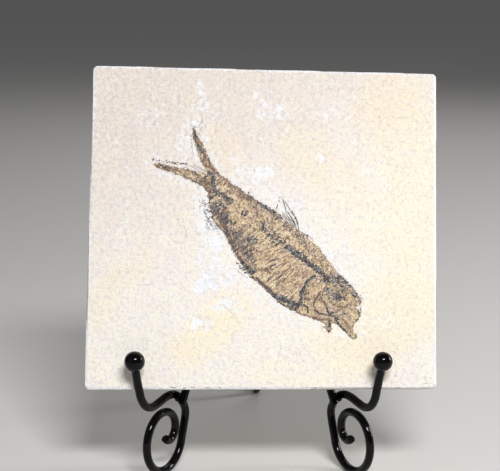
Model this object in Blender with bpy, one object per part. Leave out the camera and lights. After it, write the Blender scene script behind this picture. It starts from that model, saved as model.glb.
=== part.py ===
"""Fossil fish slab on a wire easel.

One split slab of pale limestone, with a small fish pressed flat on its face,
leans back on a black wire easel. Each front wire of the easel is bent in one
piece: an arm with a ball on its tip, a hook that the slab stands in, a seat
under the slab, and a scroll for a foot. Two uprights and a rear leg hold the
slab's back.

The slab is drawn in its own frame: x to the right, z up along its face from
the middle of its bottom edge, and y into the stone from the plane of its face.
The world frame has +Z up, the face towards -Y and the floor at z = 0.
"""

import math

import bmesh
import bpy
from mathutils import Matrix, Vector
from mathutils.geometry import delaunay_2d_cdt

MM = 0.001

# Driving dimensions, in millimetres unless a name says otherwise.
LEAN_DEG = 18.0             # how far the slab leans back
SLAB_THICKNESS = 18.0
GAP = 0.3                   # between pieces that touch
CORNER_RADIUS = 1.7
EDGE_WEAR = 0.7             # how far the worn front edge is drawn in

WIRE_DIAMETER = 3.4         # steel wire of 3.2 mm under its enamel
WIRE_SIDES_LEVEL = 3        # bevel resolution: 10 sides
FOOT_FLAT = 0.25            # ground off under each foot
LEFT_BALL_DIAMETER = 8.2
RIGHT_BALL_DIAMETER = 7.8

SLAB_X = -0.98              # puts the middle of the slab's width over the origin
EASEL_X = SLAB_X - 0.8      # the slab stands a little off the easel's middle
SCROLL_X = 38.3             # scroll's middle, from the easel's middle
SCROLL_BEHIND_EDGE = 12.4   # scroll's middle, behind the slab's front bottom edge
SCROLL_RADIUS = 12.7        # of the wire's middle line, on the floor side
SCROLL_SPLAY_DEG = 31.0     # each scroll's front is turned outwards
REAR_FOOT_BEHIND_EDGE = 122.0
REAR_FOOT_RADIUS = 7.0      # of the turned-up end of the rear leg
REAR_FOOT_END_DEG = 315.0
REAR_FOOT_POINTS = 12
REAR_FOOT_REACH = 6.0       # of the rear foot's tip, behind where it stands
BALL_REACH = 8.9            # of the balls, before the slab's front bottom edge
UPRIGHT_FOOT_Z = -6.0       # in the slab's frame: below the slab's bottom edge
UPRIGHT_TOP_Z = 96.0
UPRIGHT_FOOT_U = -6.1       # where an upright's foot meets the scroll wire's arch
REAR_LEG_TOP_Z = 93.5
REAR_LEG_STEP_BACK = 2.4    # of the rear leg's top, behind the uprights' middle lines
SPREADER_SHARE = 0.42       # its height, as a share of the uprights' length
SPREADER_OVERHANG = 2.0     # past each upright's middle line

# The slab's outline. The sides are straight to within a millimetre, and the
# stone was trimmed by hand, so no two sides are parallel.
BOTTOM_LEFT = (-70.1, -0.2)
BOTTOM_RIGHT = (69.9, 0.1)
TOP_RIGHT = (71.8, 128.0)
TOP_LEFT = (-68.2, 131.5)
EDGE_WAVE = 0.22            # height of the waves along a trimmed edge

# The fish's outline in the slab's frame, counter-clockwise seen from the front.
UPPER_TAIL_LOBE = [
    (-16.5, 86.3), (-18.3, 88.3), (-20.2, 91.0), (-22.0, 94.9), (-22.7, 97.3),
    (-23.4, 98.9), (-25.7, 102.2), (-27.1, 105.0), (-27.3, 100.5), (-26.2, 97.4),
    (-25.2, 94.6), (-23.9, 90.9), (-22.6, 88.9),
]
TAIL_FORK = [(-21.3, 86.6)]
LOWER_TAIL_LOBE = [
    (-23.9, 87.4), (-27.0, 88.0), (-30.2, 88.8), (-34.4, 89.4), (-38.0, 90.1),
    (-40.2, 90.9), (-43.2, 90.2), (-42.0, 89.0), (-39.4, 88.2), (-36.3, 87.2),
    (-32.6, 85.9), (-28.8, 84.1), (-26.6, 82.9), (-24.2, 81.6), (-22.2, 80.0),
]
BELLY = [
    (-20.8, 77.6), (-20.6, 75.2), (-20.0, 72.2), (-19.4, 69.0), (-18.0, 65.8),
    (-15.6, 63.6), (-14.0, 61.0), (-12.1, 57.4), (-9.9, 53.4), (-7.8, 50.0),
    (-5.3, 46.9), (-2.9, 44.1), (0.2, 41.2), (2.6, 38.8), (5.1, 36.6),
    (7.6, 34.4), (10.6, 32.3), (13.6, 31.0), (16.4, 29.6), (19.1, 28.5), (22.8, 27.3),
]
PECTORAL_STUB = [(25.4, 26.2), (26.6, 23.1), (28.2, 22.9), (28.8, 26.6)]
LOWER_JAW = [
    (31.3, 25.0), (34.0, 22.3), (35.8, 20.3), (37.6, 19.7), (38.4, 21.4),
    (37.2, 22.6), (36.9, 24.2), (37.6, 25.8), (39.1, 27.6), (39.9, 29.7), (39.4, 31.4),
]
SNOUT = [(38.0, 32.5), (40.0, 33.2), (40.7, 34.9), (40.0, 36.8), (38.2, 39.0), (36.4, 41.4)]
BACK_FRONT = [
    (33.9, 44.0), (31.5, 46.3), (29.7, 48.2), (27.8, 50.8), (25.7, 53.8),
    (23.4, 56.8), (20.5, 59.3), (18.1, 61.5), (15.7, 63.6),
]
DORSAL_FIN = [(15.0, 66.1), (13.8, 69.2), (12.3, 72.2), (10.8, 74.6), (9.4, 76.4), (7.6, 74.4), (6.9, 71.9)]
BACK_REAR = [
    (5.0, 71.8), (2.7, 73.0), (0.8, 74.3), (-2.3, 76.6), (-5.3, 78.5),
    (-7.8, 80.2), (-10.9, 82.3), (-14.0, 84.7),
]

# Lines on the fish that stand up from it or are pressed in.
BACKBONE = [
    (-19.9, 84.4), (-18.6, 81.0), (-16.0, 77.8), (-12.1, 75.0), (-6.6, 70.6),
    (0.8, 65.3), (5.1, 61.2), (10.7, 56.3), (16.8, 52.4), (22.9, 47.6), (28.4, 43.4),
]
GILL_COVER = [
    (22.6, 45.6), (19.6, 43.4), (17.3, 39.6), (16.2, 36.8), (16.4, 33.2), (20.6, 31.6), (25.6, 30.8),
]
JAW_LINE = [(28.6, 31.2), (32.4, 31.0), (36.4, 31.6)]
EYE_CENTRE = (31.4, 37.2)
EYE_RADIUS = 3.1

# Heights of the fish above its underside.
FISH_RIM = 0.35
FISH_BODY = 1.0
FIN_HEIGHT = 0.45
BACKBONE_RISE = 0.5
BACKBONE_HALF_WIDTH = 1.1
RIB_RISE = 0.18
RIB_SPACING = 2.4
GILL_RISE = 0.4
EYE_RISE = 0.35
JAW_RISE = 0.2
TAIL_RAY_RISE = 0.25
LINE_HALF_WIDTH = 1.0       # of the raised lines other than the backbone
RIM_SLOPE = 3.2             # width of the body's rounded edge
FIN_SLOPE = 1.2
RIB_SLANT = 0.35            # how far a rib leans towards the tail, for each unit outwards
RIM_POINT_SPACING = 1.9
FISH_POINT_SPACING = 1.7    # between the points that carry the relief
FISH_POINTS_FROM = (-44.0, 19.0)
FISH_POINTS_SPAN = 105.0
EYE_POINTS = 12
RIB_POINTS = 8              # along each rib's crest

# Shallow scars where flakes of stone split off. The largest has its own outline;
# the others are rounded: x, z, half width, half height, depth.
LARGE_SCAR = [
    (-22.2, 48.4), (-20.6, 47.0), (-18.2, 43.4), (-16.7, 40.9), (-17.2, 38.8), (-18.8, 39.1),
    (-20.3, 40.3), (-22.2, 39.8), (-24.0, 38.4), (-26.2, 37.9), (-27.7, 39.5), (-25.9, 42.0),
    (-23.4, 44.5),
]
LARGE_SCAR_DEPTH = 0.55
SMALL_SCARS = [
    (-13.6, 34.6, 4.4, 3.2, 0.40),
    (-24.3, 27.0, 3.6, 2.8, 0.35),
    (12.0, 14.0, 8.0, 4.2, 0.30),
    (-44.0, 110.0, 7.0, 4.0, 0.30),
    (50.0, 86.0, 4.5, 8.0, 0.28),
    (-54.0, 62.0, 3.6, 6.5, 0.28),
    (4.0, 88.5, 4.0, 2.6, 0.30),
    (30.0, 112.0, 6.5, 3.0, 0.26),
    (50.0, 27.0, 5.0, 3.5, 0.26),
]
SCAR_LIP = 0.6              # width of the slope down from a scar's rim
CORNER_CHIP = (65.6, 3.3, 2.3, 1.6, 0.6)
FACE_POINT_SPACING = 8.0
FACE_POINTS_FROM = (-68.0, 4.0)
FACE_POINTS_SPAN = 150.0

# The slab's thickness in beds: depth from the face, and how far the edge is drawn in.
BEDS = [
    (0.0, EDGE_WEAR), (0.45, 0.22), (1.3, 0.0), (5.6, 0.05), (6.0, 0.75),
    (10.2, 0.6), (10.7, 0.0), (17.2, 0.1), (SLAB_THICKNESS, 0.6),
]

LEAN = math.radians(LEAN_DEG)
ROW_STEP = math.sqrt(3) / 2  # between rows of evenly spaced points
WIRE_RADIUS = WIRE_DIAMETER / 2
SCROLL_HEIGHT = SCROLL_RADIUS + WIRE_RADIUS - FOOT_FLAT

# One scroll wire's middle line in its own upright plane: u forwards from the
# scroll's middle, v up from the floor. It starts inside the ball. The wires were
# bent by hand, and the left arm stands a little more upright than the right one.
LEFT_ARM = [
    (20.1, 52.6), (19.5, 49.0), (18.6, 44.6), (17.4, 40.2), (15.9, 35.9), (12.9, 32.2),
]
RIGHT_ARM = [
    (20.1, 52.6), (19.1, 49.0), (17.8, 44.6), (16.6, 40.2), (15.3, 35.9), (12.6, 32.2),
]
SEAT = [
    (8.4, 30.7), (3.6, 31.3), (-1.0, 32.2), (-5.8, 32.1), (-10.4, 30.0), (-13.8, 26.1),
    (-15.3, 21.4),
]
SCROLL_START_DEG = 190.0    # measured from straight forwards, over the top, to the rear
SCROLL_END_DEG = 615.0
SCROLL_CLOSING_DEG = 400.0  # from here the scroll winds in
SCROLL_INNER_RADIUS = 1.9
SCROLL_STEP_DEG = 12.5
SCROLL_CURL_RISE = 2.3      # how far the curl's inner end lies above the scroll's middle
WIRE_POINT_SPACING = 3.3

# Where the seat carries the slab's rear bottom edge.
SEAT_TOP_AT_REAR_EDGE = 34.25
FRONT_EDGE_HEIGHT = SEAT_TOP_AT_REAR_EDGE + SLAB_THICKNESS * math.sin(LEAN)
# The origin is under the middle of the whole, and this is the slab's front bottom edge.
EDGE_Y = -(REAR_FOOT_BEHIND_EDGE + REAR_FOOT_REACH - BALL_REACH) / 2


def clear_scene():
    for obj in list(bpy.data.objects):
        bpy.data.objects.remove(obj, do_unlink=True)


def material(name, colour, roughness, metallic=0.0):
    mat = bpy.data.materials.new(name)
    mat.use_nodes = True
    shader = mat.node_tree.nodes["Principled BSDF"]
    shader.inputs["Base Color"].default_value = (*colour, 1.0)
    shader.inputs["Roughness"].default_value = roughness
    shader.inputs["Metallic"].default_value = metallic
    return mat


def add_object(name, data, mat, parent=None):
    obj = bpy.data.objects.new(name, data)
    bpy.context.collection.objects.link(obj)
    data.materials.append(mat)
    obj.parent = parent
    return obj


def catmull_rom(points, steps):
    """Points along a smooth curve through the given points."""
    pts = [Vector(p) for p in points]
    pts = [pts[0] * 2 - pts[1]] + pts + [pts[-1] * 2 - pts[-2]]
    curve = []
    for a, b, c, d in zip(pts, pts[1:], pts[2:], pts[3:]):
        for k in range(steps):
            t = k / steps
            curve.append(0.5 * (2 * b + (c - a) * t + (2 * a - 5 * b + 4 * c - d) * t * t
                                + (3 * b - a - 3 * c + d) * t ** 3))
    curve.append(pts[-2])
    return curve


def evenly_spaced(points, spacing):
    """The same line with its points a fixed distance apart."""
    lengths = [0.0]
    for a, b in zip(points, points[1:]):
        lengths.append(lengths[-1] + (b - a).length)
    count = max(2, round(lengths[-1] / spacing))
    result = []
    segment = 0
    for k in range(count + 1):
        target = lengths[-1] * k / count
        while segment < len(points) - 2 and lengths[segment + 1] < target:
            segment += 1
        span = max(lengths[segment + 1] - lengths[segment], 1e-9)
        result.append(points[segment].lerp(points[segment + 1], (target - lengths[segment]) / span))
    return result


def distance_to_line(point, line):
    """Distance from a point to an open line, and how far along it the foot is."""
    best = (1e9, 0.0)
    along = 0.0
    for a, b in zip(line, line[1:]):
        span = b - a
        t = max(0.0, min(1.0, (point - a).dot(span) / span.length_squared))
        gap = (point - (a + span * t)).length
        if gap < best[0]:
            best = (gap, along + t * span.length)
        along += span.length
    return best


def inside(point, outline):
    """Whether a point lies inside a closed outline."""
    crossing = False
    for a, b in zip(outline, outline[1:] + outline[:1]):
        if (a.y > point.y) != (b.y > point.y):
            if point.x < a.x + (point.y - a.y) * (b.x - a.x) / (b.y - a.y):
                crossing = not crossing
    return crossing


def even_spots(corner, span, spacing):
    """Spots in staggered rows over a square."""
    spots = []
    for i in range(int(span / spacing)):
        for j in range(int(span / (spacing * ROW_STEP))):
            spots.append(Vector((corner[0] + (i + (j % 2) / 2) * spacing,
                                 corner[1] + j * spacing * ROW_STEP)))
    return spots


# ---------------------------------------------------------------- the slab


def wave(t, phase):
    """A small uneven wave along a trimmed edge, in millimetres."""
    return EDGE_WAVE * (math.sin(17 * t + phase) + 0.6 * math.sin(41 * t + 2.3 * phase))


def slab_outline_point(s, t):
    """A point of the slab's face, s from left to right and t from bottom to top."""
    left = BOTTOM_LEFT[0] + (TOP_LEFT[0] - BOTTOM_LEFT[0]) * t + wave(t, 1.0)
    right = BOTTOM_RIGHT[0] + (TOP_RIGHT[0] - BOTTOM_RIGHT[0]) * t ** 0.8 - wave(t, 2.0)
    bottom = BOTTOM_LEFT[1] + (BOTTOM_RIGHT[1] - BOTTOM_LEFT[1]) * s
    top = TOP_LEFT[1] + (TOP_RIGHT[1] - TOP_LEFT[1]) * s + wave(s, 4.0)
    return left + (right - left) * s, bottom + (top - bottom) * t


def round_corner(inward_x, inward_z, radius):
    """How far a point of the rim moves in, so that the corner is round."""
    if inward_x < radius and inward_z < radius:
        if inward_x < 1e-6 and inward_z < 1e-6:
            move = radius * (1 - math.sqrt(0.5))
            return move, move
        if inward_z < 1e-6:
            return 0.0, radius - math.sqrt(radius ** 2 - (radius - inward_x) ** 2)
        if inward_x < 1e-6:
            return radius - math.sqrt(radius ** 2 - (radius - inward_z) ** 2), 0.0
    return 0.0, 0.0


def rim_shares(cells):
    """Places along an edge from 0 to 1, closer together beside each corner."""
    middle = [0.04 + 0.92 * k / cells for k in range(cells + 1)]
    return [0.0, 0.006, 0.014] + middle + [0.986, 0.994]


def slab_rim():
    """The slab's outline with round corners, counter-clockwise seen from the front."""
    width = TOP_RIGHT[0] - TOP_LEFT[0]
    height = TOP_LEFT[1] - BOTTOM_LEFT[1]
    places = ([(s, 0.0) for s in rim_shares(24)] + [(1.0, t) for t in rim_shares(22)]
              + [(1.0 - s, 1.0) for s in rim_shares(24)] + [(0.0, 1.0 - t) for t in rim_shares(22)])
    rim = []
    for s, t in places:
        x, z = slab_outline_point(s, t)
        dx, dz = round_corner(min(s, 1 - s) * width, min(t, 1 - t) * height, CORNER_RADIUS)
        rim.append(Vector((x + (dx if s < 0.5 else -dx), z + (dz if t < 0.5 else -dz))))
    return rim


def small_scar_outline(x, z, half_width, half_height):
    """A rounded but uneven outline."""
    count = 11
    outline = []
    for k in range(count):
        angle = math.tau * k / count
        reach = 1.0 + 0.14 * math.sin(3 * angle + x) + 0.09 * math.sin(5 * angle + z)
        outline.append(Vector((x + half_width * reach * math.cos(angle),
                               z + half_height * reach * math.sin(angle))))
    return outline


def drawn_in(outline, distance):
    """A closed outline moved inwards by a distance."""
    count = len(outline)
    area = sum(a.x * b.y - b.x * a.y for a, b in zip(outline, outline[1:] + outline[:1]))
    sign = 1.0 if area > 0 else -1.0
    moved = []
    for k, point in enumerate(outline):
        along = (outline[(k + 1) % count] - outline[k - 1]).normalized()
        moved.append(point + Vector((-along.y, along.x)) * distance * sign)
    return moved


def build_slab(mat, parent):
    outline = slab_rim()

    def bed_ring(depth, inset):
        """The slab's outline at a depth, drawn in unevenly."""
        ring = []
        for k, (point, moved) in enumerate(zip(outline, drawn_in(outline, 1.0))):
            uneven = inset * (1.0 + 0.35 * math.sin(0.9 * k + 1.7 * depth))
            ring.append(point + (moved - point) * uneven)
        return ring

    rim = bed_ring(*BEDS[0])
    points = list(rim)
    depths = [0.0] * len(rim)
    edges = [(k, (k + 1) % len(rim)) for k in range(len(rim))]
    scars = [([Vector(p) for p in LARGE_SCAR], LARGE_SCAR_DEPTH)]
    scars += [(small_scar_outline(*scar[:4]), scar[4]) for scar in SMALL_SCARS + [CORNER_CHIP]]
    for scar, depth in scars:
        for loop, level in ((scar, 0.0), (drawn_in(scar, SCAR_LIP), depth)):
            first = len(points)
            points += loop
            depths += [level] * len(loop)
            edges += [(first + k, first + (k + 1) % len(loop)) for k in range(len(loop))]
    for spot in even_spots(FACE_POINTS_FROM, FACE_POINTS_SPAN, FACE_POINT_SPACING):
        nearest = min((spot - other).length for other in points)
        if inside(spot, rim) and nearest > 0.3 * FACE_POINT_SPACING:
            points.append(spot)
            depths.append(max([depth for scar, depth in scars if inside(spot, scar)], default=0.0))

    result = delaunay_2d_cdt(points, edges, [list(range(len(rim)))], 1, 1e-4)
    flat, faces, sources = result[0], result[2], result[3]
    bm = bmesh.new()
    front = []
    for point, source in zip(flat, sources):
        depth = depths[source[0]] if source else 0.0
        front.append(bm.verts.new((point.x * MM, depth * MM, point.y * MM)))
    for face in faces:
        bm.faces.new([front[k] for k in face])
    ring = front[:len(rim)]
    for depth, inset in BEDS[1:]:
        lower = [bm.verts.new((p.x * MM, depth * MM, p.y * MM)) for p in bed_ring(depth, inset)]
        for k in range(len(rim)):
            n = (k + 1) % len(rim)
            bm.faces.new((ring[n], ring[k], lower[k], lower[n]))
        ring = lower
    bm.faces.new(ring)
    bmesh.ops.recalc_face_normals(bm, faces=bm.faces)
    bmesh.ops.triangulate(bm, faces=bm.faces)
    mesh = bpy.data.meshes.new("limestone_slab")
    bm.to_mesh(mesh)
    bm.free()
    return add_object("limestone_slab", mesh, mat, parent)


# ---------------------------------------------------------------- the fish


def finer(outline, spacing):
    """A closed outline with its long stretches cut into shorter ones."""
    result = []
    for a, b in zip(outline, outline[1:] + outline[:1]):
        count = max(1, round((b - a).length / spacing))
        result += [a.lerp(b, k / count) for k in range(count)]
    return result


def offset_line(line, distance):
    """The line moved sideways by a distance."""
    moved = []
    for k, point in enumerate(line):
        along = (line[min(k + 1, len(line) - 1)] - line[max(k - 1, 0)]).normalized()
        moved.append(point + Vector((-along.y, along.x)) * distance)
    return moved


def ridge(distance, half_width):
    """A rounded ridge: 1 on its crest, 0 at its half width."""
    return max(0.0, 1.0 - (distance / half_width) ** 2)


def build_fish(mat, parent):
    tail = UPPER_TAIL_LOBE + TAIL_FORK + LOWER_TAIL_LOBE
    head = PECTORAL_STUB + LOWER_JAW + SNOUT
    back = BACK_FRONT + DORSAL_FIN + BACK_REAR
    outline = finer([Vector(p) for p in tail + BELLY + head + back], RIM_POINT_SPACING)
    spine = catmull_rom(BACKBONE, 6)
    gill = catmull_rom(GILL_COVER, 5)
    jaw = catmull_rom(JAW_LINE, 4)
    eye = Vector(EYE_CENTRE)
    fork = Vector(TAIL_FORK[0])
    rays = [[fork, Vector((-27.1, 104.0))], [fork, Vector((-42.6, 90.0))]]
    rim_loop = outline + outline[:1]

    def height(point):
        """Height of the fish above its underside."""
        to_rim = distance_to_line(point, rim_loop)[0]
        to_spine, along = distance_to_line(point, spine)
        on_tail = point.y > 86.0 or (point.x < -22.0 and point.y > 79.0)
        on_fin = point.y > 64.5 and point.x > 6.0 and to_spine > 10.5
        if on_tail or on_fin:
            level = FISH_RIM + (FIN_HEIGHT - FISH_RIM) * min(1.0, to_rim / FIN_SLOPE)
            if on_tail:
                to_ray = min(distance_to_line(point, ray)[0] for ray in rays)
                level += TAIL_RAY_RISE * ridge(to_ray, LINE_HALF_WIDTH)
            return level
        level = FISH_RIM + (FISH_BODY - FISH_RIM) * min(1.0, to_rim / RIM_SLOPE) ** 0.6
        level += BACKBONE_RISE * ridge(to_spine, BACKBONE_HALF_WIDTH)
        level += GILL_RISE * ridge(distance_to_line(point, gill)[0], LINE_HALF_WIDTH)
        level += JAW_RISE * ridge(distance_to_line(point, jaw)[0], LINE_HALF_WIDTH)
        to_eye = abs((point - eye).length - EYE_RADIUS)
        level += EYE_RISE * ridge(to_eye, LINE_HALF_WIDTH)
        if point.x < 15.0 and to_spine > BACKBONE_HALF_WIDTH:
            level += RIB_RISE * math.cos(math.tau * (along + RIB_SLANT * to_spine) / RIB_SPACING)
        return level

    points = list(outline)
    edges = [(k, (k + 1) % len(outline)) for k in range(len(outline))]

    def keep(point, from_rim, from_points):
        """Add a point if it is inside and not crowded."""
        if not inside(point, outline):
            return
        if distance_to_line(point, rim_loop)[0] < from_rim:
            return
        if min((point - other).length for other in points) < from_points:
            return
        points.append(point)

    lines = ((spine, BACKBONE_HALF_WIDTH), (gill, LINE_HALF_WIDTH), (jaw, LINE_HALF_WIDTH))
    for line, half_width in lines:
        crest = evenly_spaced(line, 1.3 * FISH_POINT_SPACING)
        for side in (0.0, half_width, -half_width):
            for point in offset_line(crest, side):
                keep(point, 0.6, 0.75)
    for radius in (EYE_RADIUS - LINE_HALF_WIDTH, EYE_RADIUS, EYE_RADIUS + LINE_HALF_WIDTH):
        for k in range(EYE_POINTS):
            angle = math.tau * k / EYE_POINTS
            keep(eye + Vector((math.cos(angle), math.sin(angle))) * radius, 0.6, 0.75)
    for ray in rays:
        for point in evenly_spaced(ray, FISH_POINT_SPACING)[1:-1]:
            keep(point, 0.4, 0.7)
    # Rib crests and the hollows between them, on both sides of the backbone.
    crest_line = evenly_spaced(spine, RIB_SPACING / 2)
    for k, root in enumerate(crest_line[:-1]):
        along = (crest_line[k + 1] - root).normalized()
        normal = Vector((-along.y, along.x))
        for side in (1, -1):
            for step in range(1, RIB_POINTS + 1):
                reach = BACKBONE_HALF_WIDTH + step * FISH_POINT_SPACING
                keep(root + normal * side * reach - along * RIB_SLANT * reach, 0.5, 0.9)
    for spot in even_spots(FISH_POINTS_FROM, FISH_POINTS_SPAN, FISH_POINT_SPACING):
        keep(spot, 0.6, 1.15)

    result = delaunay_2d_cdt(points, edges, [list(range(len(outline)))], 1, 1e-4)
    flat, faces = result[0], result[2]
    bm = bmesh.new()
    top = []
    for k, point in enumerate(flat):
        rise = FISH_RIM if k < len(outline) else height(point)
        top.append(bm.verts.new((point.x * MM, -(GAP + rise) * MM, point.y * MM)))
    for face in faces:
        bm.faces.new([top[k] for k in face])
    rim_edges = [edge for edge in bm.edges if len(edge.link_faces) == 1]
    follow = {}
    for edge in rim_edges:
        a, b = edge.verts
        follow.setdefault(a, []).append(b)
        follow.setdefault(b, []).append(a)
    start = rim_edges[0].verts[0]
    loop, before, here = [start], None, start
    while True:
        onward = [v for v in follow[here] if v is not before][0]
        before, here = here, onward
        if here is start:
            break
        loop.append(here)
    under = [bm.verts.new((v.co.x, -GAP * MM, v.co.z)) for v in loop]
    for k in range(len(loop)):
        n = (k + 1) % len(loop)
        bm.faces.new((loop[k], loop[n], under[n], under[k]))
    bm.faces.new(under[::-1])
    bmesh.ops.recalc_face_normals(bm, faces=bm.faces)
    bmesh.ops.triangulate(bm, faces=bm.faces)
    mesh = bpy.data.meshes.new("fossil_fish")
    bm.to_mesh(mesh)
    bm.free()
    return add_object("fossil_fish", mesh, mat, parent)


# ---------------------------------------------------------------- the easel


def wire(name, points, mat):
    """A round wire along points in millimetres, as a mesh with closed ends."""
    data = bpy.data.curves.new(name, "CURVE")
    data.dimensions = "3D"
    data.bevel_depth = WIRE_RADIUS * MM
    data.bevel_resolution = WIRE_SIDES_LEVEL
    data.use_fill_caps = True
    spline = data.splines.new("POLY")
    spline.points.add(len(points) - 1)
    for target, point in zip(spline.points, points):
        target.co = (point[0] * MM, point[1] * MM, point[2] * MM, 1.0)
    curve = add_object(name, data, mat)
    depsgraph = bpy.context.evaluated_depsgraph_get()
    mesh = bpy.data.meshes.new_from_object(curve.evaluated_get(depsgraph))
    bpy.data.objects.remove(curve, do_unlink=True)
    mesh.name = name
    bm = bmesh.new()
    bm.from_mesh(mesh)
    bmesh.ops.remove_doubles(bm, verts=bm.verts, dist=1e-6)
    bmesh.ops.recalc_face_normals(bm, faces=bm.faces)
    bm.to_mesh(mesh)
    bm.free()
    mesh.materials.clear()
    obj = add_object(name, mesh, mat)
    mesh.shade_smooth()
    mesh.set_sharp_from_angle(angle=math.radians(50))
    return obj


def cut(obj, cutter):
    """Cut one object with another, which the build leaves out."""
    cutter.hide_render = True
    cutter.display_type = "WIRE"
    modifier = obj.modifiers.new("cut", "BOOLEAN")
    modifier.operation = "DIFFERENCE"
    modifier.solver = "EXACT"
    modifier.object = cutter


def floor_cutter():
    """A block whose top is the floor, to grind the feet flat."""
    bm = bmesh.new()
    bmesh.ops.create_cube(bm, size=1.0)
    bmesh.ops.scale(bm, vec=(0.3, 0.4, 0.02), verts=bm.verts)
    bmesh.ops.translate(bm, vec=(0.0, 0.0, -0.01), verts=bm.verts)
    mesh = bpy.data.meshes.new("floor_cutter")
    bm.to_mesh(mesh)
    bm.free()
    obj = bpy.data.objects.new("floor_cutter", mesh)
    bpy.context.collection.objects.link(obj)
    return obj


def scroll_plane_point(side, u, v):
    """A point of a scroll wire's plane in the world frame, side -1 left, 1 right."""
    splay = math.radians(SCROLL_SPLAY_DEG)
    x = EASEL_X + side * (SCROLL_X + u * math.sin(splay))
    y = EDGE_Y + SCROLL_BEHIND_EDGE - u * math.cos(splay)
    return Vector((x, y, v))


def scroll_point(angle):
    """A point of the foot at an angle in degrees, over the rear, floor, front and top."""
    share = max(0.0, (angle - SCROLL_CLOSING_DEG) / (SCROLL_END_DEG - SCROLL_CLOSING_DEG))
    radius = SCROLL_RADIUS + (SCROLL_INNER_RADIUS - SCROLL_RADIUS) * share ** 1.5
    turn = math.radians(angle)
    return radius * math.cos(turn), SCROLL_HEIGHT + SCROLL_CURL_RISE * share + radius * math.sin(turn)


def scroll_line(arm):
    """The whole middle line, in its plane, of the scroll wire that has this arm."""
    foot = []
    angle = SCROLL_START_DEG
    while angle <= SCROLL_END_DEG + 0.1:
        foot.append(scroll_point(angle))
        angle += SCROLL_STEP_DEG
    return evenly_spaced(catmull_rom(arm + SEAT + foot, 4), WIRE_POINT_SPACING)


def build_ball(name, side, diameter, mat, line):
    """A ball on an arm's tip, with a blind hole that the wire goes into."""
    bm = bmesh.new()
    bmesh.ops.create_uvsphere(bm, u_segments=16, v_segments=10, radius=diameter / 2 * MM)
    mesh = bpy.data.meshes.new(name)
    bm.to_mesh(mesh)
    bm.free()
    mesh.shade_smooth()
    ball = add_object(name, mesh, mat)
    tip = scroll_plane_point(side, *line[0])
    below = scroll_plane_point(side, *line[2])
    ball.location = tip * MM
    direction = (tip - below).normalized()
    ball.rotation_mode = "QUATERNION"
    ball.rotation_quaternion = Vector((0, 0, 1)).rotation_difference(direction)
    bm = bmesh.new()
    bmesh.ops.create_cone(bm, cap_ends=True, segments=12, radius1=(WIRE_RADIUS + GAP) * MM,
                          radius2=(WIRE_RADIUS + GAP) * MM, depth=diameter * MM)
    drop = diameter / 2 - GAP - 0.1
    bmesh.ops.translate(bm, vec=(0, 0, -drop * MM), verts=bm.verts)
    mesh = bpy.data.meshes.new(name + "_cutter")
    bm.to_mesh(mesh)
    bm.free()
    cutter = bpy.data.objects.new(name + "_cutter", mesh)
    bpy.context.collection.objects.link(cutter)
    cutter.parent = ball
    cut(ball, cutter)
    return ball


def slab_frame_point(x, depth, z):
    """A point given in the slab's frame, in the world frame."""
    return Vector((SLAB_X + x, EDGE_Y + depth * math.cos(LEAN) + z * math.sin(LEAN),
                   FRONT_EDGE_HEIGHT - depth * math.sin(LEAN) + z * math.cos(LEAN)))


def build_easel(mat):
    floor = floor_cutter()
    for side, word, arm, diameter in ((-1, "left", LEFT_ARM, LEFT_BALL_DIAMETER),
                                      (1, "right", RIGHT_ARM, RIGHT_BALL_DIAMETER)):
        line = scroll_line(arm)
        points = [scroll_plane_point(side, u, v) for u, v in line]
        cut(wire(word + "_scroll_wire", points, mat), floor)
        build_ball(word + "_ball", side, diameter, mat, line)

    # The uprights lie against the slab's back and lean together at the top.
    behind = SLAB_THICKNESS + GAP + WIRE_RADIUS
    middle = EASEL_X - SLAB_X
    arch_x = SCROLL_X + UPRIGHT_FOOT_U * math.sin(math.radians(SCROLL_SPLAY_DEG))
    foot_x = arch_x - WIRE_DIAMETER - GAP
    top_x = WIRE_RADIUS + GAP / 2
    for side, word in ((-1, "left"), (1, "right")):
        low = slab_frame_point(middle + side * foot_x, behind, UPRIGHT_FOOT_Z)
        high = slab_frame_point(middle + side * top_x, behind, UPRIGHT_TOP_Z)
        wire(word + "_upright", evenly_spaced([low, high], 60.0), mat)
    bar_z = UPRIGHT_FOOT_Z + (UPRIGHT_TOP_Z - UPRIGHT_FOOT_Z) * SPREADER_SHARE
    bar_x = foot_x + (top_x - foot_x) * SPREADER_SHARE + SPREADER_OVERHANG
    bar_depth = behind + WIRE_DIAMETER + GAP / 2
    bar = [slab_frame_point(middle + side * bar_x, bar_depth, bar_z) for side in (-1, 1)]
    wire("spreader_bar", bar, mat)

    # The rear leg runs straight down to the floor and turns up at its end.
    top = slab_frame_point(middle, behind + REAR_LEG_STEP_BACK, REAR_LEG_TOP_Z)
    foot_centre = Vector((EASEL_X, EDGE_Y + REAR_FOOT_BEHIND_EDGE,
                          WIRE_RADIUS - FOOT_FLAT + REAR_FOOT_RADIUS))
    slope = math.atan2(top.z - WIRE_RADIUS, foot_centre.y - top.y)
    start = math.radians(270.0) - slope
    end = math.radians(REAR_FOOT_END_DEG)
    turned_up = []
    for k in range(REAR_FOOT_POINTS + 1):
        angle = start + (end - start) * k / REAR_FOOT_POINTS
        reach = Vector((0.0, math.cos(angle), math.sin(angle))) * REAR_FOOT_RADIUS
        turned_up.append(foot_centre + reach)
    straight = evenly_spaced([top, turned_up[0]], 40.0)
    cut(wire("rear_leg", straight[:-1] + turned_up, mat), floor)


clear_scene()

limestone = material("cream limestone", (0.83, 0.76, 0.64), 0.9)
bone = material("fossil bone", (0.36, 0.25, 0.14), 0.75)
black_wire = material("gloss black wire", (0.006, 0.006, 0.008), 0.22)

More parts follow.
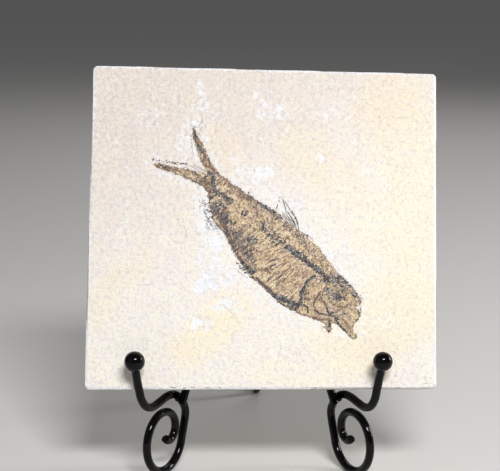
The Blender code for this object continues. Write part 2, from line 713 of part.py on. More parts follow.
slab_frame = bpy.data.objects.new("slab_frame", None)
bpy.context.collection.objects.link(slab_frame)
slab_frame.location = (SLAB_X * MM, EDGE_Y * MM, FRONT_EDGE_HEIGHT * MM)
slab_frame.rotation_euler = (-LEAN, 0.0, 0.0)
build_slab(limestone, slab_frame)
build_fish(bone, slab_frame)
build_easel(black_wire)
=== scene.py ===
# %% [markdown]
# # A fossil fish on a split slab, standing on a wire easel
#
# This notebook dresses a finished technical model. The technical model has the
# true sizes: a slab of pale limestone, a thin fish on its face, and an easel of
# bent wire. Here each of those solids gets a piece with the look of the real
# thing: grainy stone, crumbling bone, and glossy enamel.
#
# The first cell loads the technical model. Everything is in metres, +Z is up,
# and the face of the slab looks towards -Y.

# %% Load the technical model
import math

import bmesh
import bpy
import numpy as np
from mathutils import Matrix, Vector, noise


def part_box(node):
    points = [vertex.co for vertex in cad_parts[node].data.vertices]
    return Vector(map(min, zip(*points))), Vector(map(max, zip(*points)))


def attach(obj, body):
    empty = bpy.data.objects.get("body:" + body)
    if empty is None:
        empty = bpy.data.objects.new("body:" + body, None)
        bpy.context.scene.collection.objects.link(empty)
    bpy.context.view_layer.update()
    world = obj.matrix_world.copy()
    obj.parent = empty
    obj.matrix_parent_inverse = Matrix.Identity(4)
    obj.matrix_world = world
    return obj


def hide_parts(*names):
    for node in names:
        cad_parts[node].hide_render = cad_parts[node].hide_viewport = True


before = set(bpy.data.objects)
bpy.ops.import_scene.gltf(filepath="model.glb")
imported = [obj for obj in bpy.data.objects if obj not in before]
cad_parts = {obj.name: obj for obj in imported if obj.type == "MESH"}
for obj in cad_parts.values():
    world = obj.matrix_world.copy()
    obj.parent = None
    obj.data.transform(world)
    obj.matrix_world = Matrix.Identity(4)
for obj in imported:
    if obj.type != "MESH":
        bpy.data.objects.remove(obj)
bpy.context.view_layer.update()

# %% [markdown]
# ## Sizes that the pieces share
#
# The slab leans back, so it is easiest to model it standing upright, in a frame
# of its own, and to lean it at the end. In that frame x runs to the right, z
# runs up the face from the middle of the bottom edge, and y goes into the stone.
# The numbers are in millimetres, and MM turns them into metres.

# %% Sizes
MM = 0.001
LEAN = math.radians(18)
THICKNESS = 18.0
SLAB_ORIGIN = Vector((-0.98, -59.55, 39.81))       # middle of the front bottom edge
CORNERS = {(-1, -1): (-70.1, -0.2), (1, -1): (69.9, 0.1), (1, 1): (71.8, 128.0), (-1, 1): (-68.2, 131.5)}

WIRE_RADIUS = 1.7
EASEL_X = -1.78
rng = np.random.default_rng(18)
print("slab leans", round(math.degrees(LEAN)), "degrees, wire is", 2 * WIRE_RADIUS, "mm thick")

# %% [markdown]
# ## Small helpers
#
# An operator in Blender acts on whatever is selected. The helpers below select
# one object, apply its modifiers, and read or write all of its points at once as
# rows of numbers, which is much faster than going through them one by one.

# %% Helpers for objects
def only(obj):
    """Deselect everything, then select one object and make it active."""
    bpy.ops.object.select_all(action="DESELECT")
    obj.select_set(True)
    bpy.context.view_layer.objects.active = obj


def apply_modifiers(obj):
    only(obj)
    for modifier in list(obj.modifiers):
        bpy.ops.object.modifier_apply(modifier=modifier.name)


def points_of(obj):
    """The points of a mesh, in millimetres, as an array with a row for each."""
    rows = np.zeros(len(obj.data.vertices) * 3, np.float32)
    obj.data.vertices.foreach_get("co", rows)
    return rows.reshape(-1, 3).astype(float) / MM


def set_points(obj, rows):
    obj.data.vertices.foreach_set("co", (rows * MM).astype(np.float32).ravel())
    obj.data.update()


def select_points(obj, chosen):
    """In edit mode, select the points whose entry in chosen is true."""
    mesh = bmesh.from_edit_mesh(obj.data)
    mesh.select_mode = {"VERT"}
    for vert, pick in zip(mesh.verts, chosen):
        vert.select = bool(pick)
    mesh.select_flush_mode()
    bmesh.update_edit_mesh(obj.data)


def lean_back(obj):
    """Lean a piece that was modelled upright, and apply its place to its mesh."""
    only(obj)
    obj.rotation_euler = (-LEAN, 0, 0)
    obj.location = SLAB_ORIGIN * MM
    bpy.ops.object.transform_apply(location=True, rotation=True, scale=True)


print("helpers ready")

# %% [markdown]
# ## Lines and lumps
#
# Much of this object is drawn by lines: the outline of the fish, its backbone,
# the edge of a scar in the stone. `nearest_on` measures every point of a mesh
# against such a line. `clouds` gives smooth random lumps of a chosen size, which
# is what keeps stone and bone from looking machined.

# %% Helpers for lines
def nearest_on(line, places):
    """For each place: distance from the line, side (+1 left, -1 right), length along, nearest point."""
    line = np.asarray(line, float)
    count = len(places)
    best = np.full(count, 1e9)
    side = np.ones(count)
    along = np.zeros(count)
    foot = np.zeros((count, 2))
    run = 0.0
    for start, end in zip(line, line[1:]):
        step = end - start
        length = np.hypot(step[0], step[1])
        offset = places - start
        share = np.clip(offset @ step / length ** 2, 0, 1)
        point = start + share[:, None] * step
        gap = np.hypot(*(places - point).T)
        closer = gap < best
        best[closer] = gap[closer]
        side[closer] = np.sign(step[0] * offset[:, 1] - step[1] * offset[:, 0])[closer]
        along[closer] = (run + share * length)[closer]
        foot[closer] = point[closer]
        run += length
    return best, side, along, foot


def inside(outline, places):
    """Which places lie inside a closed outline."""
    crossing = np.zeros(len(places), bool)
    x, z = places[:, 0], places[:, 1]
    for (ax, az), (bx, bz) in zip(outline, outline[1:] + outline[:1]):
        if az == bz:
            continue
        between = (az > z) != (bz > z)
        crossing ^= between & (x < ax + (z - az) * (bx - ax) / (bz - az))
    return crossing


def smooth(values):
    """Ease values between 0 and 1, flat at both ends."""
    values = np.clip(values, 0, 1)
    return values * values * (3 - 2 * values)


def clouds(places, size, shift=0.0):
    """Smooth random lumps between about -1 and 1, of a size in millimetres."""
    return np.array([noise.noise(Vector((p[0] / size + shift, p[1] / size, p[-1] / size - shift)))
                     for p in places])


def pairs(numbers):
    """Numbers x, z, x, z and so on as rows of x and z."""
    return np.array(numbers, float).reshape(-1, 2)


def strokes(places, pens):
    """The strongest soft stroke at each place. A pen is a half width, a strength and its lines.

    A line that is a single pair of numbers is a dot.
    """
    result = np.zeros(len(places))
    for half_width, strength, *lines in pens:
        for line in lines:
            line = pairs(line)
            if len(line) == 1:
                line = np.array([line[0], line[0] + (0.1, -0.1)])
            distance = nearest_on(line, places)[0]
            result = np.maximum(result, strength * smooth(1.45 - distance / (half_width + 0.12)))
    return result


def paint(obj, name, red, green, blue, alpha):
    """Store four values for each point, which a material can read by name."""
    layer = obj.data.color_attributes.new(name=name, type="FLOAT_COLOR", domain="POINT")
    rows = np.stack([red, green, blue, alpha], axis=1).astype(np.float32)
    layer.data.foreach_set("color", rows.ravel())


print("line helpers ready")

# %% [markdown]
# ## The slab's block
#
# The real slab is a sheet of lake limestone, split along its bedding and trimmed
# by hand, so no two of its sides are parallel. The block starts as a cube. Its
# corners are pulled to their places one pair at a time, and then a bevel rounds
# the four long corners and wears the rims a little.

# %% Block out the slab
bpy.ops.object.select_all(action="DESELECT")
bpy.ops.mesh.primitive_cube_add(size=2 * MM, location=(0, 0, 0))
slab = bpy.context.object
slab.name = "split_slab"
bpy.ops.object.mode_set(mode="EDIT")
bpy.ops.mesh.select_all(action="SELECT")
bpy.ops.transform.resize(value=(1, THICKNESS / 2, 1))
bpy.ops.transform.translate(value=(0, THICKNESS / 2 * MM, 0))
for (side_x, side_z), (x, z) in CORNERS.items():
    places = np.array([vert.co for vert in bmesh.from_edit_mesh(slab.data).verts]) / MM
    at_corner = (np.abs(places[:, 0] - side_x) < 0.01) & (np.abs(places[:, 2] - side_z) < 0.01)
    select_points(slab, at_corner)
    bpy.ops.transform.translate(value=((x - side_x) * MM, 0, (z - side_z) * MM))
bpy.ops.object.mode_set(mode="OBJECT")
print("block:", [round(d / MM, 1) for d in slab.dimensions], "mm")

# %% Round its corners and wear its rims
def select_edges(obj, test):
    """In edit mode, select the edges that pass a test on the direction that they run in."""
    mesh = bmesh.from_edit_mesh(obj.data)
    mesh.select_mode = {"EDGE"}
    for edge in mesh.edges:
        edge.select = test((edge.verts[1].co - edge.verts[0].co).normalized(), edge.calc_length() / MM)
    mesh.select_flush_mode()
    bmesh.update_edit_mesh(obj.data)


only(slab)
bpy.ops.object.mode_set(mode="EDIT")
bpy.ops.mesh.select_mode(type="EDGE")
select_edges(slab, lambda along, length: abs(along.y) > 0.9)
bpy.ops.mesh.bevel(offset=1.7 * MM, segments=4, affect="EDGES")
select_edges(slab, lambda along, length: abs(along.y) < 0.5 and (length > 50 or length < 2))
bpy.ops.mesh.bevel(offset=0.35 * MM, segments=2, affect="EDGES")
bpy.ops.object.mode_set(mode="OBJECT")
print("bevelled block:", len(slab.data.polygons), "faces")

# %% [markdown]
# ## An even skin of small faces
#
# To carry scars and worn edges, the block needs many small faces of one size. A
# Remesh modifier in voxel mode rebuilds the surface from little cubes, 0.85 mm
# wide here, and leaves a neat grid of quads.

# %% Remesh the slab
VOXEL = 0.85
even_skin = slab.modifiers.new("even skin", "REMESH")
even_skin.mode = "VOXEL"
even_skin.voxel_size = VOXEL * MM
apply_modifiers(slab)
print("slab skin:", len(slab.data.polygons), "faces")

# %% [markdown]
# ## Scars, chips and beds
#
# Where a flake has split off, the stone steps down by about half a millimetre.
# Points close to a scar's outline are moved onto it, so that the step is crisp,
# and the points inside are pushed in. The sides are weathered along the beds:
# a soft bed has gone back a little, and a hard one stands out.

# %% Outlines of the scars
LARGE_SCAR = [
    (-22.2, 48.4), (-20.6, 47.0), (-18.2, 43.4), (-16.7, 40.9), (-17.2, 38.8), (-18.8, 39.1),
    (-20.3, 40.3), (-22.2, 39.8), (-24.0, 38.4), (-26.2, 37.9), (-27.7, 39.5), (-25.9, 42.0),
    (-23.4, 44.5),
]
# Rounded scars: x, z, half width, half height, depth.
ROUND_SCARS = [
    (-13.6, 34.6, 4.4, 3.2, 0.40), (-24.3, 27.0, 3.6, 2.8, 0.35), (12.0, 14.0, 8.0, 4.2, 0.30),
    (-44.0, 110.0, 7.0, 4.0, 0.30), (50.0, 86.0, 4.5, 8.0, 0.28), (-54.0, 62.0, 3.6, 6.5, 0.28),
    (4.0, 88.5, 4.0, 2.6, 0.30), (30.0, 112.0, 6.5, 3.0, 0.26), (50.0, 27.0, 5.0, 3.5, 0.26),
    (65.6, 3.3, 2.3, 1.6, 0.60),
]


def round_outline(x, z, half_width, half_height):
    """A rounded but uneven outline."""
    outline = []
    for k in range(22):
        angle = math.tau * k / 22
        reach = 1 + 0.14 * math.sin(3 * angle + x) + 0.09 * math.sin(5 * angle + z)
        outline.append((x + half_width * reach * math.cos(angle), z + half_height * reach * math.sin(angle)))
    return outline


scars = [(LARGE_SCAR, 0.55)] + [(round_outline(*scar[:4]), scar[4]) for scar in ROUND_SCARS]
print(len(scars), "scars")

# %% Push the scars in
RIM_REACH = 0.42            # points as close as this to an outline are moved onto it
places = points_of(slab)
normals = np.zeros(len(slab.data.vertices) * 3, np.float32)
slab.data.vertices.foreach_get("normal", normals)
normals = normals.reshape(-1, 3)
face = normals[:, 1] < -0.8
flat = places[:, [0, 2]]
sunk = np.zeros(len(places))
in_scar = np.zeros(len(places))
for outline, depth in scars:
    distance, _, _, foot = nearest_on(outline + outline[:1], flat)
    on_rim = face & (distance < RIM_REACH)
    flat[on_rim] = foot[on_rim]
    within = face & ~on_rim & inside(outline, flat)
    sunk[within] = depth * (0.75 + 0.25 * smooth(distance[within] / 2.0))
    in_scar[within | on_rim] = 1.0
places[:, [0, 2]] = flat
print(int(in_scar.sum()), "points in scars")

# %% Weather the face and the sides
BED_DEPTHS = [0.0, 1.3, 5.4, 5.9, 8.0, 10.3, 10.8, 14.2, 14.6, 18.0]
BED_INSETS = [0.0, 0.0, 0.1, 0.8, 0.55, 0.6, 0.0, 0.1, 0.45, 0.2]
long_waves = clouds(places, 26.0)
short_waves = clouds(places, 5.0, 3.1)
grit = clouds(places, 1.6, 7.7)
places[:, 1] += np.where(face, sunk + 0.10 * long_waves + 0.05 * short_waves, 0.0)
side_share = np.clip(1.0 - np.abs(normals[:, 1]) * 1.4, 0, 1)
inset = np.interp(places[:, 1], BED_DEPTHS, BED_INSETS) * (1 + 0.6 * clouds(places, 9.0, 5.0))
inset += 0.22 * short_waves + 0.12 * grit
inset *= 0.25 + 0.75 * smooth((places[:, 1] - 0.4) / 2.0)
for axis in (0, 2):
    places[:, axis] -= normals[:, axis] * side_share * inset
chips = smooth(clouds(places, 4.5, 11.0) * 2.4 - 0.55)
at_rim = (1 - smooth(places[:, 1] / 1.6)) * side_share
for axis in (0, 2):
    places[:, axis] -= normals[:, axis] * at_rim * chips * 0.45
back = normals[:, 1] > 0.8
places[:, 1] += np.where(back, -0.5 + 0.30 * long_waves + 0.16 * short_waves + 0.08 * grit, 0.0)
set_points(slab, places)
print("slab face lies between", round(places[face, 1].min(), 2), "and", round(places[face, 1].max(), 2), "mm")

# %% [markdown]
# ## The fish's outline
#
# The fish is a herring-like fish of a lake that dried up long ago, pressed flat.
# It lies head down to the right. The outline goes round against the clock: tail,
# belly, head and back. Long stretches are cut into short ones, and each point is
# pushed about a little, because the edge of fossil bone crumbles.

# %% Draw the outline
TAIL = [
    (-16.2, 86.4), (-18.0, 88.4), (-19.8, 91.1), (-21.6, 94.8), (-22.6, 97.3),
    (-23.2, 98.9), (-25.6, 102.5), (-26.2, 104.8), (-26.7, 106.0), (-27.6, 105.4),
    (-27.6, 103.0), (-27.2, 100.5), (-26.2, 97.4),
    (-25.2, 94.6), (-23.9, 90.9), (-22.6, 88.9), (-21.3, 86.6),
    (-23.9, 87.4), (-27.0, 88.0), (-30.2, 88.8), (-34.4, 89.4), (-38.0, 90.1),
    (-40.2, 91.0), (-42.6, 91.0), (-43.8, 90.4), (-42.6, 89.3), (-39.4, 88.2), (-36.3, 87.2),
    (-32.6, 85.9), (-28.8, 84.1), (-26.6, 82.9), (-24.2, 81.6), (-22.2, 80.0),
]
BELLY = [
    (-20.8, 77.6), (-20.6, 75.2), (-20.0, 72.2), (-19.4, 69.0), (-18.0, 65.8),
    (-15.6, 63.6), (-14.0, 61.0), (-12.1, 57.4), (-9.9, 53.4), (-7.8, 50.0),
    (-5.3, 46.9), (-2.9, 44.1), (0.2, 41.2), (2.6, 38.8), (5.1, 36.6),
    (7.6, 34.4), (10.6, 32.3), (13.6, 31.0), (16.4, 29.6), (19.1, 28.5), (22.8, 27.3),
]
HEAD = [
    (25.4, 26.2), (26.6, 23.1), (28.2, 22.9), (28.8, 26.6), (31.3, 25.0), (34.0, 22.3),
    (35.8, 20.3), (37.6, 19.7), (38.4, 21.4), (37.2, 22.6), (36.9, 24.2), (37.6, 25.8),
    (39.1, 27.6), (39.9, 29.7), (39.4, 31.4), (38.0, 32.5), (40.0, 33.2), (40.7, 34.9),
    (40.0, 36.8), (38.2, 39.0), (36.4, 41.4),
]
BACK = [
    (33.9, 44.0), (31.5, 46.3), (29.7, 48.2), (27.8, 50.8), (25.7, 53.8),
    (23.4, 56.8), (20.5, 59.3), (18.1, 61.5), (15.7, 63.6), (13.4, 65.4), (10.9, 67.0), (8.4, 68.9),
    (6.6, 70.7), (5.0, 71.8), (2.7, 73.0), (0.8, 74.3), (-2.3, 76.6), (-5.3, 78.5),
    (-7.8, 80.2), (-10.9, 82.3), (-14.0, 84.7),
]


def crumbled(outline, spacing, push):
    """The outline in short steps, each point pushed about at random."""
    result = []
    for start, end in zip(outline, outline[1:] + outline[:1]):
        start, end = np.array(start), np.array(end)
        count = max(1, round(np.hypot(*(end - start)) / spacing))
        for k in range(count):
            shift = rng.normal(0, push, 2)
            result.append(tuple(start + (end - start) * k / count + shift))
    return result


fish_outline = crumbled(TAIL + BELLY + HEAD + BACK, 0.55, 0.16)
print("fish outline has", len(fish_outline), "points")

# %% [markdown]
# ## The fish's skin
#
# A fine grid covers the fish, and every point outside the outline is deleted.
# What is left is a thin sheet in the shape of the fish. It needs a fine grid
# because its marks are stored on its points: one step is a quarter of a millimetre.

# %% Cut the fish from a grid
FISH_LOW = (-45.0, 19.0)
FISH_HIGH = (42.0, 106.0)
STEP = 0.25
columns = round((FISH_HIGH[0] - FISH_LOW[0]) / STEP)
rows_up = round((FISH_HIGH[1] - FISH_LOW[1]) / STEP)
bpy.ops.object.select_all(action="DESELECT")
bpy.ops.mesh.primitive_grid_add(x_subdivisions=columns, y_subdivisions=rows_up, size=1,
                                rotation=(math.pi / 2, 0, 0))
fish = bpy.context.object
fish.name = "fish_bones"
bpy.ops.object.transform_apply(rotation=True)
places = points_of(fish) * MM
places[:, 0] = FISH_LOW[0] + (places[:, 0] + 0.5) * (FISH_HIGH[0] - FISH_LOW[0])
places[:, 2] = FISH_LOW[1] + (places[:, 2] + 0.5) * (FISH_HIGH[1] - FISH_LOW[1])
set_points(fish, places)
outside = ~inside(fish_outline, places[:, [0, 2]])
only(fish)
bpy.ops.object.mode_set(mode="EDIT")
select_points(fish, outside)
bpy.ops.mesh.delete(type="VERT")
bpy.ops.object.mode_set(mode="OBJECT")
print("fish sheet:", len(fish.data.vertices), "points")

# %% [markdown]
# ## A map of the fish's body
#
# The ribs follow the backbone, so the marks are easier to place by how far along
# the backbone a point is, and how far above or below it. On the tail the same is
# done with the middle line of each lobe. This map is also kept as the UV map,
# so that the material can draw ribs that bend with the body.

# %% Measure each point against the backbone
BACKBONE = [
    (-21.3, 86.6), (-19.9, 84.4), (-18.6, 81.0), (-16.0, 77.8), (-12.1, 75.0), (-6.6, 70.6),
    (0.8, 65.3), (5.1, 61.2), (10.7, 56.3), (16.8, 52.4), (22.9, 47.6), (28.4, 43.4), (38.0, 34.5),
]
UPPER_RAY = [(-21.3, 86.6), (-23.9, 94.0), (-27.1, 104.5)]
LOWER_RAY = [(-21.3, 86.6), (-30.0, 86.4), (-43.0, 90.2)]
places = points_of(fish)
flat = places[:, [0, 2]]
to_edge = nearest_on(fish_outline + fish_outline[:1], flat)[0]
off_spine, side, along, _ = nearest_on(BACKBONE, flat)
above = off_spine * side
tail = (flat[:, 1] > 87.0) | ((flat[:, 0] < -22.4) & (flat[:, 1] > 79.5))
for ray, shift in ((UPPER_RAY, 130.0), (LOWER_RAY, 150.0)):
    off_ray, ray_side, ray_along, _ = nearest_on(ray, flat)
    lobe = tail & ((flat[:, 1] > 90.0 + 0.14 * (flat[:, 0] + 22)) == (ray is UPPER_RAY))
    along[lobe] = (shift + off_ray * ray_side)[lobe]
    above[lobe] = ray_along[lobe]
print("body is", round(along[~tail].max()), "mm along the backbone")

# %% [markdown]
# ## Relief of the fish
#
# The bones stand less than a millimetre proud of the stone. The body swells from
# a thin rim, the backbone is a low ridge, and the gill cover, the jaw and the
# ring of the eye are raised lines. Fine ribs cross the belly.

# %% Raise the fish's relief
GILL_COVER = [
    (22.6, 45.6), (19.6, 43.4), (17.5, 40.1), (16.2, 37.1), (16.2, 33.6), (20.6, 31.6), (25.6, 30.8),
]
JAW_LINE = [(25.9, 33.4), (27.7, 30.6), (32.4, 29.2), (36.4, 28.2)]
EYE = (31.4, 37.0)
EYE_RADIUS = 2.9
RIB_SPACING = 1.05
RAY_SPACING = 0.8
RIB_SLANT = 0.35            # how far a rib leans towards the tail, for each millimetre outwards


def ridge(distance, half_width):
    return smooth(1 - distance / half_width)


body = 0.28 + 0.72 * np.clip(to_edge / 3.2, 0, 1) ** 0.6
level = np.where(tail, 0.25 + 0.12 * smooth(to_edge / 1.0), body)
level += 0.38 * ridge(off_spine, 1.3) * ~tail
level += 0.30 * ridge(nearest_on(GILL_COVER, flat)[0], 1.0)
level += 0.22 * ridge(nearest_on(JAW_LINE, flat)[0], 0.9)
eye_gap = np.abs(np.hypot(flat[:, 0] - EYE[0], flat[:, 1] - EYE[1]) - EYE_RADIUS)
level += 0.28 * ridge(eye_gap, 1.1)
belly_side = smooth((-above - 1.2) / 1.5)
rib_cage = smooth((flat[:, 0] + 10.0) / 8) * smooth((16.5 - flat[:, 0]) / 2.5)
ribbed = np.where(tail, 0.8, 0.25 + 0.75 * belly_side * rib_cage)
ribbed *= 1 - 0.85 * smooth((flat[:, 0] - 17.5) / 3) * smooth((50 - flat[:, 1]) / 6)
level += 0.12 * ribbed * ~tail * np.cos(math.tau * (along + RIB_SLANT * off_spine) / RIB_SPACING)
level += 0.10 * clouds(places, 2.2, 2.0) + 0.06 * clouds(places, 0.7, 9.0)
level += 0.06 * tail * np.cos(math.tau * along / RAY_SPACING)
places[:, 1] = -np.maximum(level, 0.12)
set_points(fish, places)
print("fish stands up to", round(level.max(), 2), "mm proud")

# %% [markdown]
# ## Marks of the fish
#
# A dark film of carbon is left along the backbone, in the gut and on the head,
# and the rims of the bones are brown. Each mark is a soft stroke along a line.
# The lines are listed by the pen that draws them: its half width, its strength,
# and then each line as x, z, x, z and so on. The strokes are stored on the points
# as four values, and the material later breaks their soft edges into specks.

# %% Strokes of dark film
FILM = [
    (1.3, 0.9, (6.5, 36.5, 8.1, 36.5, 9.6, 35.6, 12.3, 34.2, 14.2, 33.2)),
    (1.1, 0.85, (19.2, 49.9, 21.7, 48.9, 23.6, 47.2, 25.2, 45.7, 26.3, 44.3)),
    (1.1, 0.62, (26.3, 44.7, 28.1, 44.2, 30, 44.1, 31.5, 43.6)),
    (1, 0.85, (11.3, 33.4, 13, 33.1, 14.7, 32.7)), (0.9, 1, (30.2, 36.5, 31, 36.7, 31.5, 36.2)),
    (0.9, 0.42, (26, 39.2, 27.9, 39, 29.8, 39.2)), (0.85, 1, (17.8, 51.8, 18.9, 50.2, 20.7, 49, 22.6, 47.6)),
    (0.85, 0.8, (-18, 74.6, -16.4, 74.6, -15, 73.5)), (0.8, 1, (16.1, 37.7, 16.4, 36.5)),
    (0.8, 0.95, (-19.2, 85.9, -19.2, 83.7, -19, 82, -18.6, 80.4)), (0.8, 0.85, (-20.7, 87.1, -19.5, 85.9)),
    (0.8, 0.8, (-7.3, 50.4, -5.5, 48.6, -4, 46.8, -2.4, 46.8)), (0.8, 0.45, (13.4, 62.2, 15.3, 60.4)),
    (0.8, 0.4, (2.6, 55.9, 2.8, 55.8)), (0.75, 1, (16.8, 39, 16.2, 37.8, 16.5, 36.7)),
    (0.75, 0.9, (13.7, 55.1, 15.3, 54.2, 17.2, 53.8)), (0.75, 0.8, (27.6, 44.8, 29.9, 44.4, 32, 44.2)),
    (0.7, 0.95, (-18.4, 80, -16.6, 78.6, -15, 78.2, -14.3, 76.9)),
    (0.7, 0.85, (13.5, 53.7, 15.3, 52.5, 16.3, 52), (14.8, 33.2, 16.2, 34.2)),
    (0.7, 0.8, (-14.3, 69.7, -13.7, 68.2)),
    (0.7, 0.55, (-16.4, 71.1, -15.3, 69.3), (11.6, 64.7, 13.6, 63.2)), (0.7, 0.4, (4.6, 69.9, 6.6, 69.1)),
    (0.6, 1, (10.4, 56.3, 12.4, 55.5, 13.2, 53.8), (2, 72.9)), (0.6, 0.75, (11.5, 32.8, 13.8, 31.1)),
    (0.6, 0.65, (17.8, 41.6)), (0.6, 0.5, (-11.7, 63.5, -9.9, 63.2, -8.1, 63.9)),
    (0.55, 1, (21.6, 45.1, 20, 43.9, 18.4, 42.8, 17.8, 41.4)),
    (0.5, 1, (3.4, 61.5, 4.9, 61.4), (9.8, 56.2, 10.8, 57.4), (17, 51.3, 18.2, 52.8),
     (17.8, 41.4, 17, 39.3, 16.4, 37.7, 16.2, 36.1, 15.6, 34.5), (-28.6, 83.8, -26.7, 83.2, -24.9, 82.2)),
    (0.5, 0.95, (26.8, 30.6, 28.1, 30.2, 28.7, 30.4), (29.8, 28.1, 31, 27.9),
     (-25.2, 98.2, -24.5, 96.7, -23.6, 95.5)),
    (0.5, 0.9, (-4.7, 59.2, -3.1, 59.5, -1.5, 60),
     (27.3, 42.8, 29.4, 42.4, 31.5, 42.8, 33.6, 42.2, 35.3, 42.8), (26.2, 40.3, 27.1, 39.7),
     (39.8, 35.7, 39.9, 35.5), (15.7, 33.8, 17.4, 33.4), (16.4, 38.7, 17.1, 39.8), (-25.6, 86.2, -25.4, 86)),
    (0.5, 0.8, (8.1, 67.5), (29.8, 41)), (0.5, 0.7, (-1.4, 74.8, 0.3, 73.9, 1.9, 72.9)),
    (0.5, 0.65, (-10.3, 61.9, -10.1, 60.1), (16.1, 59.8, 17.5, 58.1), (-21.6, 85.7, -22.8, 84.5)),
    (0.5, 0.6, (28.9, 38.2, 30.6, 37.3)), (0.5, 0.55, (-8.1, 57.4, -6.3, 58.3, -5.3, 59.5)),
    (0.5, 0.45, (-2, 68, -2.4, 66.4)),
    (0.45, 0.9, (-17.2, 78.4, -18.6, 77.7, -20, 76.4, -20.9, 75.5), (-11.9, 67.3, -11.7, 66, -10.2, 66.3),
     (5.8, 71), (27.2, 27.9, 27.6, 26, 27.4, 24.6)),
    (0.42, 1, (-5.3, 71.1, -6.5, 69.3), (1, 66.4, 1.2, 64.4, 0.8, 63.3)),
    (0.42, 0.95, (-14.3, 76.9, -12.8, 75.5, -11.7, 74.6, -11.4, 76)),
    (0.4, 1, (33.1, 44.2, 35.2, 42.5, 36.5, 40.9, 37.4, 39.5), (-23.1, 98.3, -22.9, 98.1)),
    (0.4, 0.95, (2.2, 64.1, 1.7, 63)),
    (0.4, 0.9, (-2.6, 72.9), (6.1, 57.4, 6.8, 58.1), (9.2, 58.2, 9.9, 58.8), (-5.5, 54.1, -5.4, 53.9),
     (3.6, 71.6, 3.8, 71.5), (15.6, 34.5, 14.7, 33.1, 14, 31.7, 13.6, 30.4), (19.3, 35.6, 19.4, 35.4)),
    (0.4, 0.85, (34, 43.4, 35.7, 42.4, 36.9, 41.1)),
    (0.4, 0.8, (12.4, 55.9, 13.6, 55.9), (9.1, 65.3), (35.5, 21.2), (18.7, 42.9, 18.9, 42.8)),
    (0.4, 0.7, (-1.4, 55.4)), (0.4, 0.55, (-7.1, 62.6, -4.9, 61.4)), (0.4, 0.5, (-7.5, 58.3, -5.9, 59.4)),
    (0.38, 0.9, (-7.1, 71.1, -7.5, 70)), (0.35, 1, (39.1, 31.1, 39.7, 29.4, 39.2, 27.9, 38.5, 27.3)),
    (0.35, 0.95, (7.5, 58.4, 8.5, 59.4), (31.7, 36.9, 33.7, 35.7)),
    (0.35, 0.9, (-13.3, 79.5), (-12.3, 79.1), (6.4, 59.8, 7.2, 60.8), (31.7, 41.1, 33.6, 40.4),
     (38, 21.5, 38.1, 21.3), (-40.5, 90.2, -38.6, 89)),
    (0.35, 0.85, (4.8, 58.6, 5.6, 58.9), (37, 37.8, 37.6, 36.7)),
    (0.35, 0.75, (-18.4, 89, -16.8, 87.1, -14.9, 85.7), (-27.4, 87.3, -25.3, 86.2)),
    (0.35, 0.7, (-12.6, 70.8, -12.4, 70.7), (-4, 55.7, -3.4, 54, -3, 52.4),
     (-3.2, 44.7, 1.1, 41.6, 3.8, 38.7, 5.3, 37.1), (-21.4, 94.2, -20, 91.3, -18.4, 89)),
    (0.35, 0.6, (-8.3, 77.9, -8.2, 77.7)),
    (0.3, 1, (2.1, 60.3, 3.4, 61.6), (17.4, 33.4, 18.7, 32.7, 18.9, 30.4), (21.6, 31.5, 23.5, 30),
     (30.1, 27.1, 31.8, 25.2, 34, 22.9)),
    (0.3, 0.9, (-26.4, 102.5, -25.4, 101.8)), (0.3, 0.85, (-31.6, 85.5, -30.4, 84.7)),
    (0.3, 0.8, (-11.4, 76, -13.2, 76.6), (5.5, 61.4, 6.1, 62), (-0.1, 54.3, 0, 54.1),
     (35.9, 22.7, 36.1, 22.6), (36.8, 27.3), (4, 44.7), (-26.8, 104.1, -25.4, 101.7)),
    (0.3, 0.75, (3.8, 59.6, 5, 60.4), (0.1, 58.3, 0.2, 58.1), (5.4, 67.3, 6.4, 68.3, 7.7, 68.7),
     (36.9, 41.1, 38.2, 39.4, 39.4, 37.8), (20.9, 45, 21.9, 44.3)),
    (0.3, 0.7, (9.1, 51.1)), (0.3, 0.65, (17.4, 46.6)), (0.3, 0.6, (-2.4, 49.6, -2, 47.4), (-34.4, 86.4)),
    (0.28, 0.95, (23.5, 30, 27.2, 29.2, 29.3, 29)), (0.28, 0.9, (27, 30.4, 26, 32.7)),
    (0.25, 0.95, (3.8, 48.8, 6.1, 49.8)), (0.25, 0.9, (6.5, 41.2, 7.7, 42.8)),
    (0.25, 0.85, (-3.5, 66.1, -4.5, 65.1)), (0.25, 0.75, (-2.5, 64.4, -2.9, 64), (3.8, 51.1, 5.8, 51.5)),
    (0.25, 0.7, (1.1, 45.3, 0.3, 44.3), (13.9, 41.8)), (0.2, 1, (6.3, 43.5, 8.7, 45.5)),
    (0.2, 0.75, (2.8, 43.1, 3.8, 44.3)), (0.2, 0.65, (29.3, 29, 31.4, 29, 34.5, 30.2)),
]
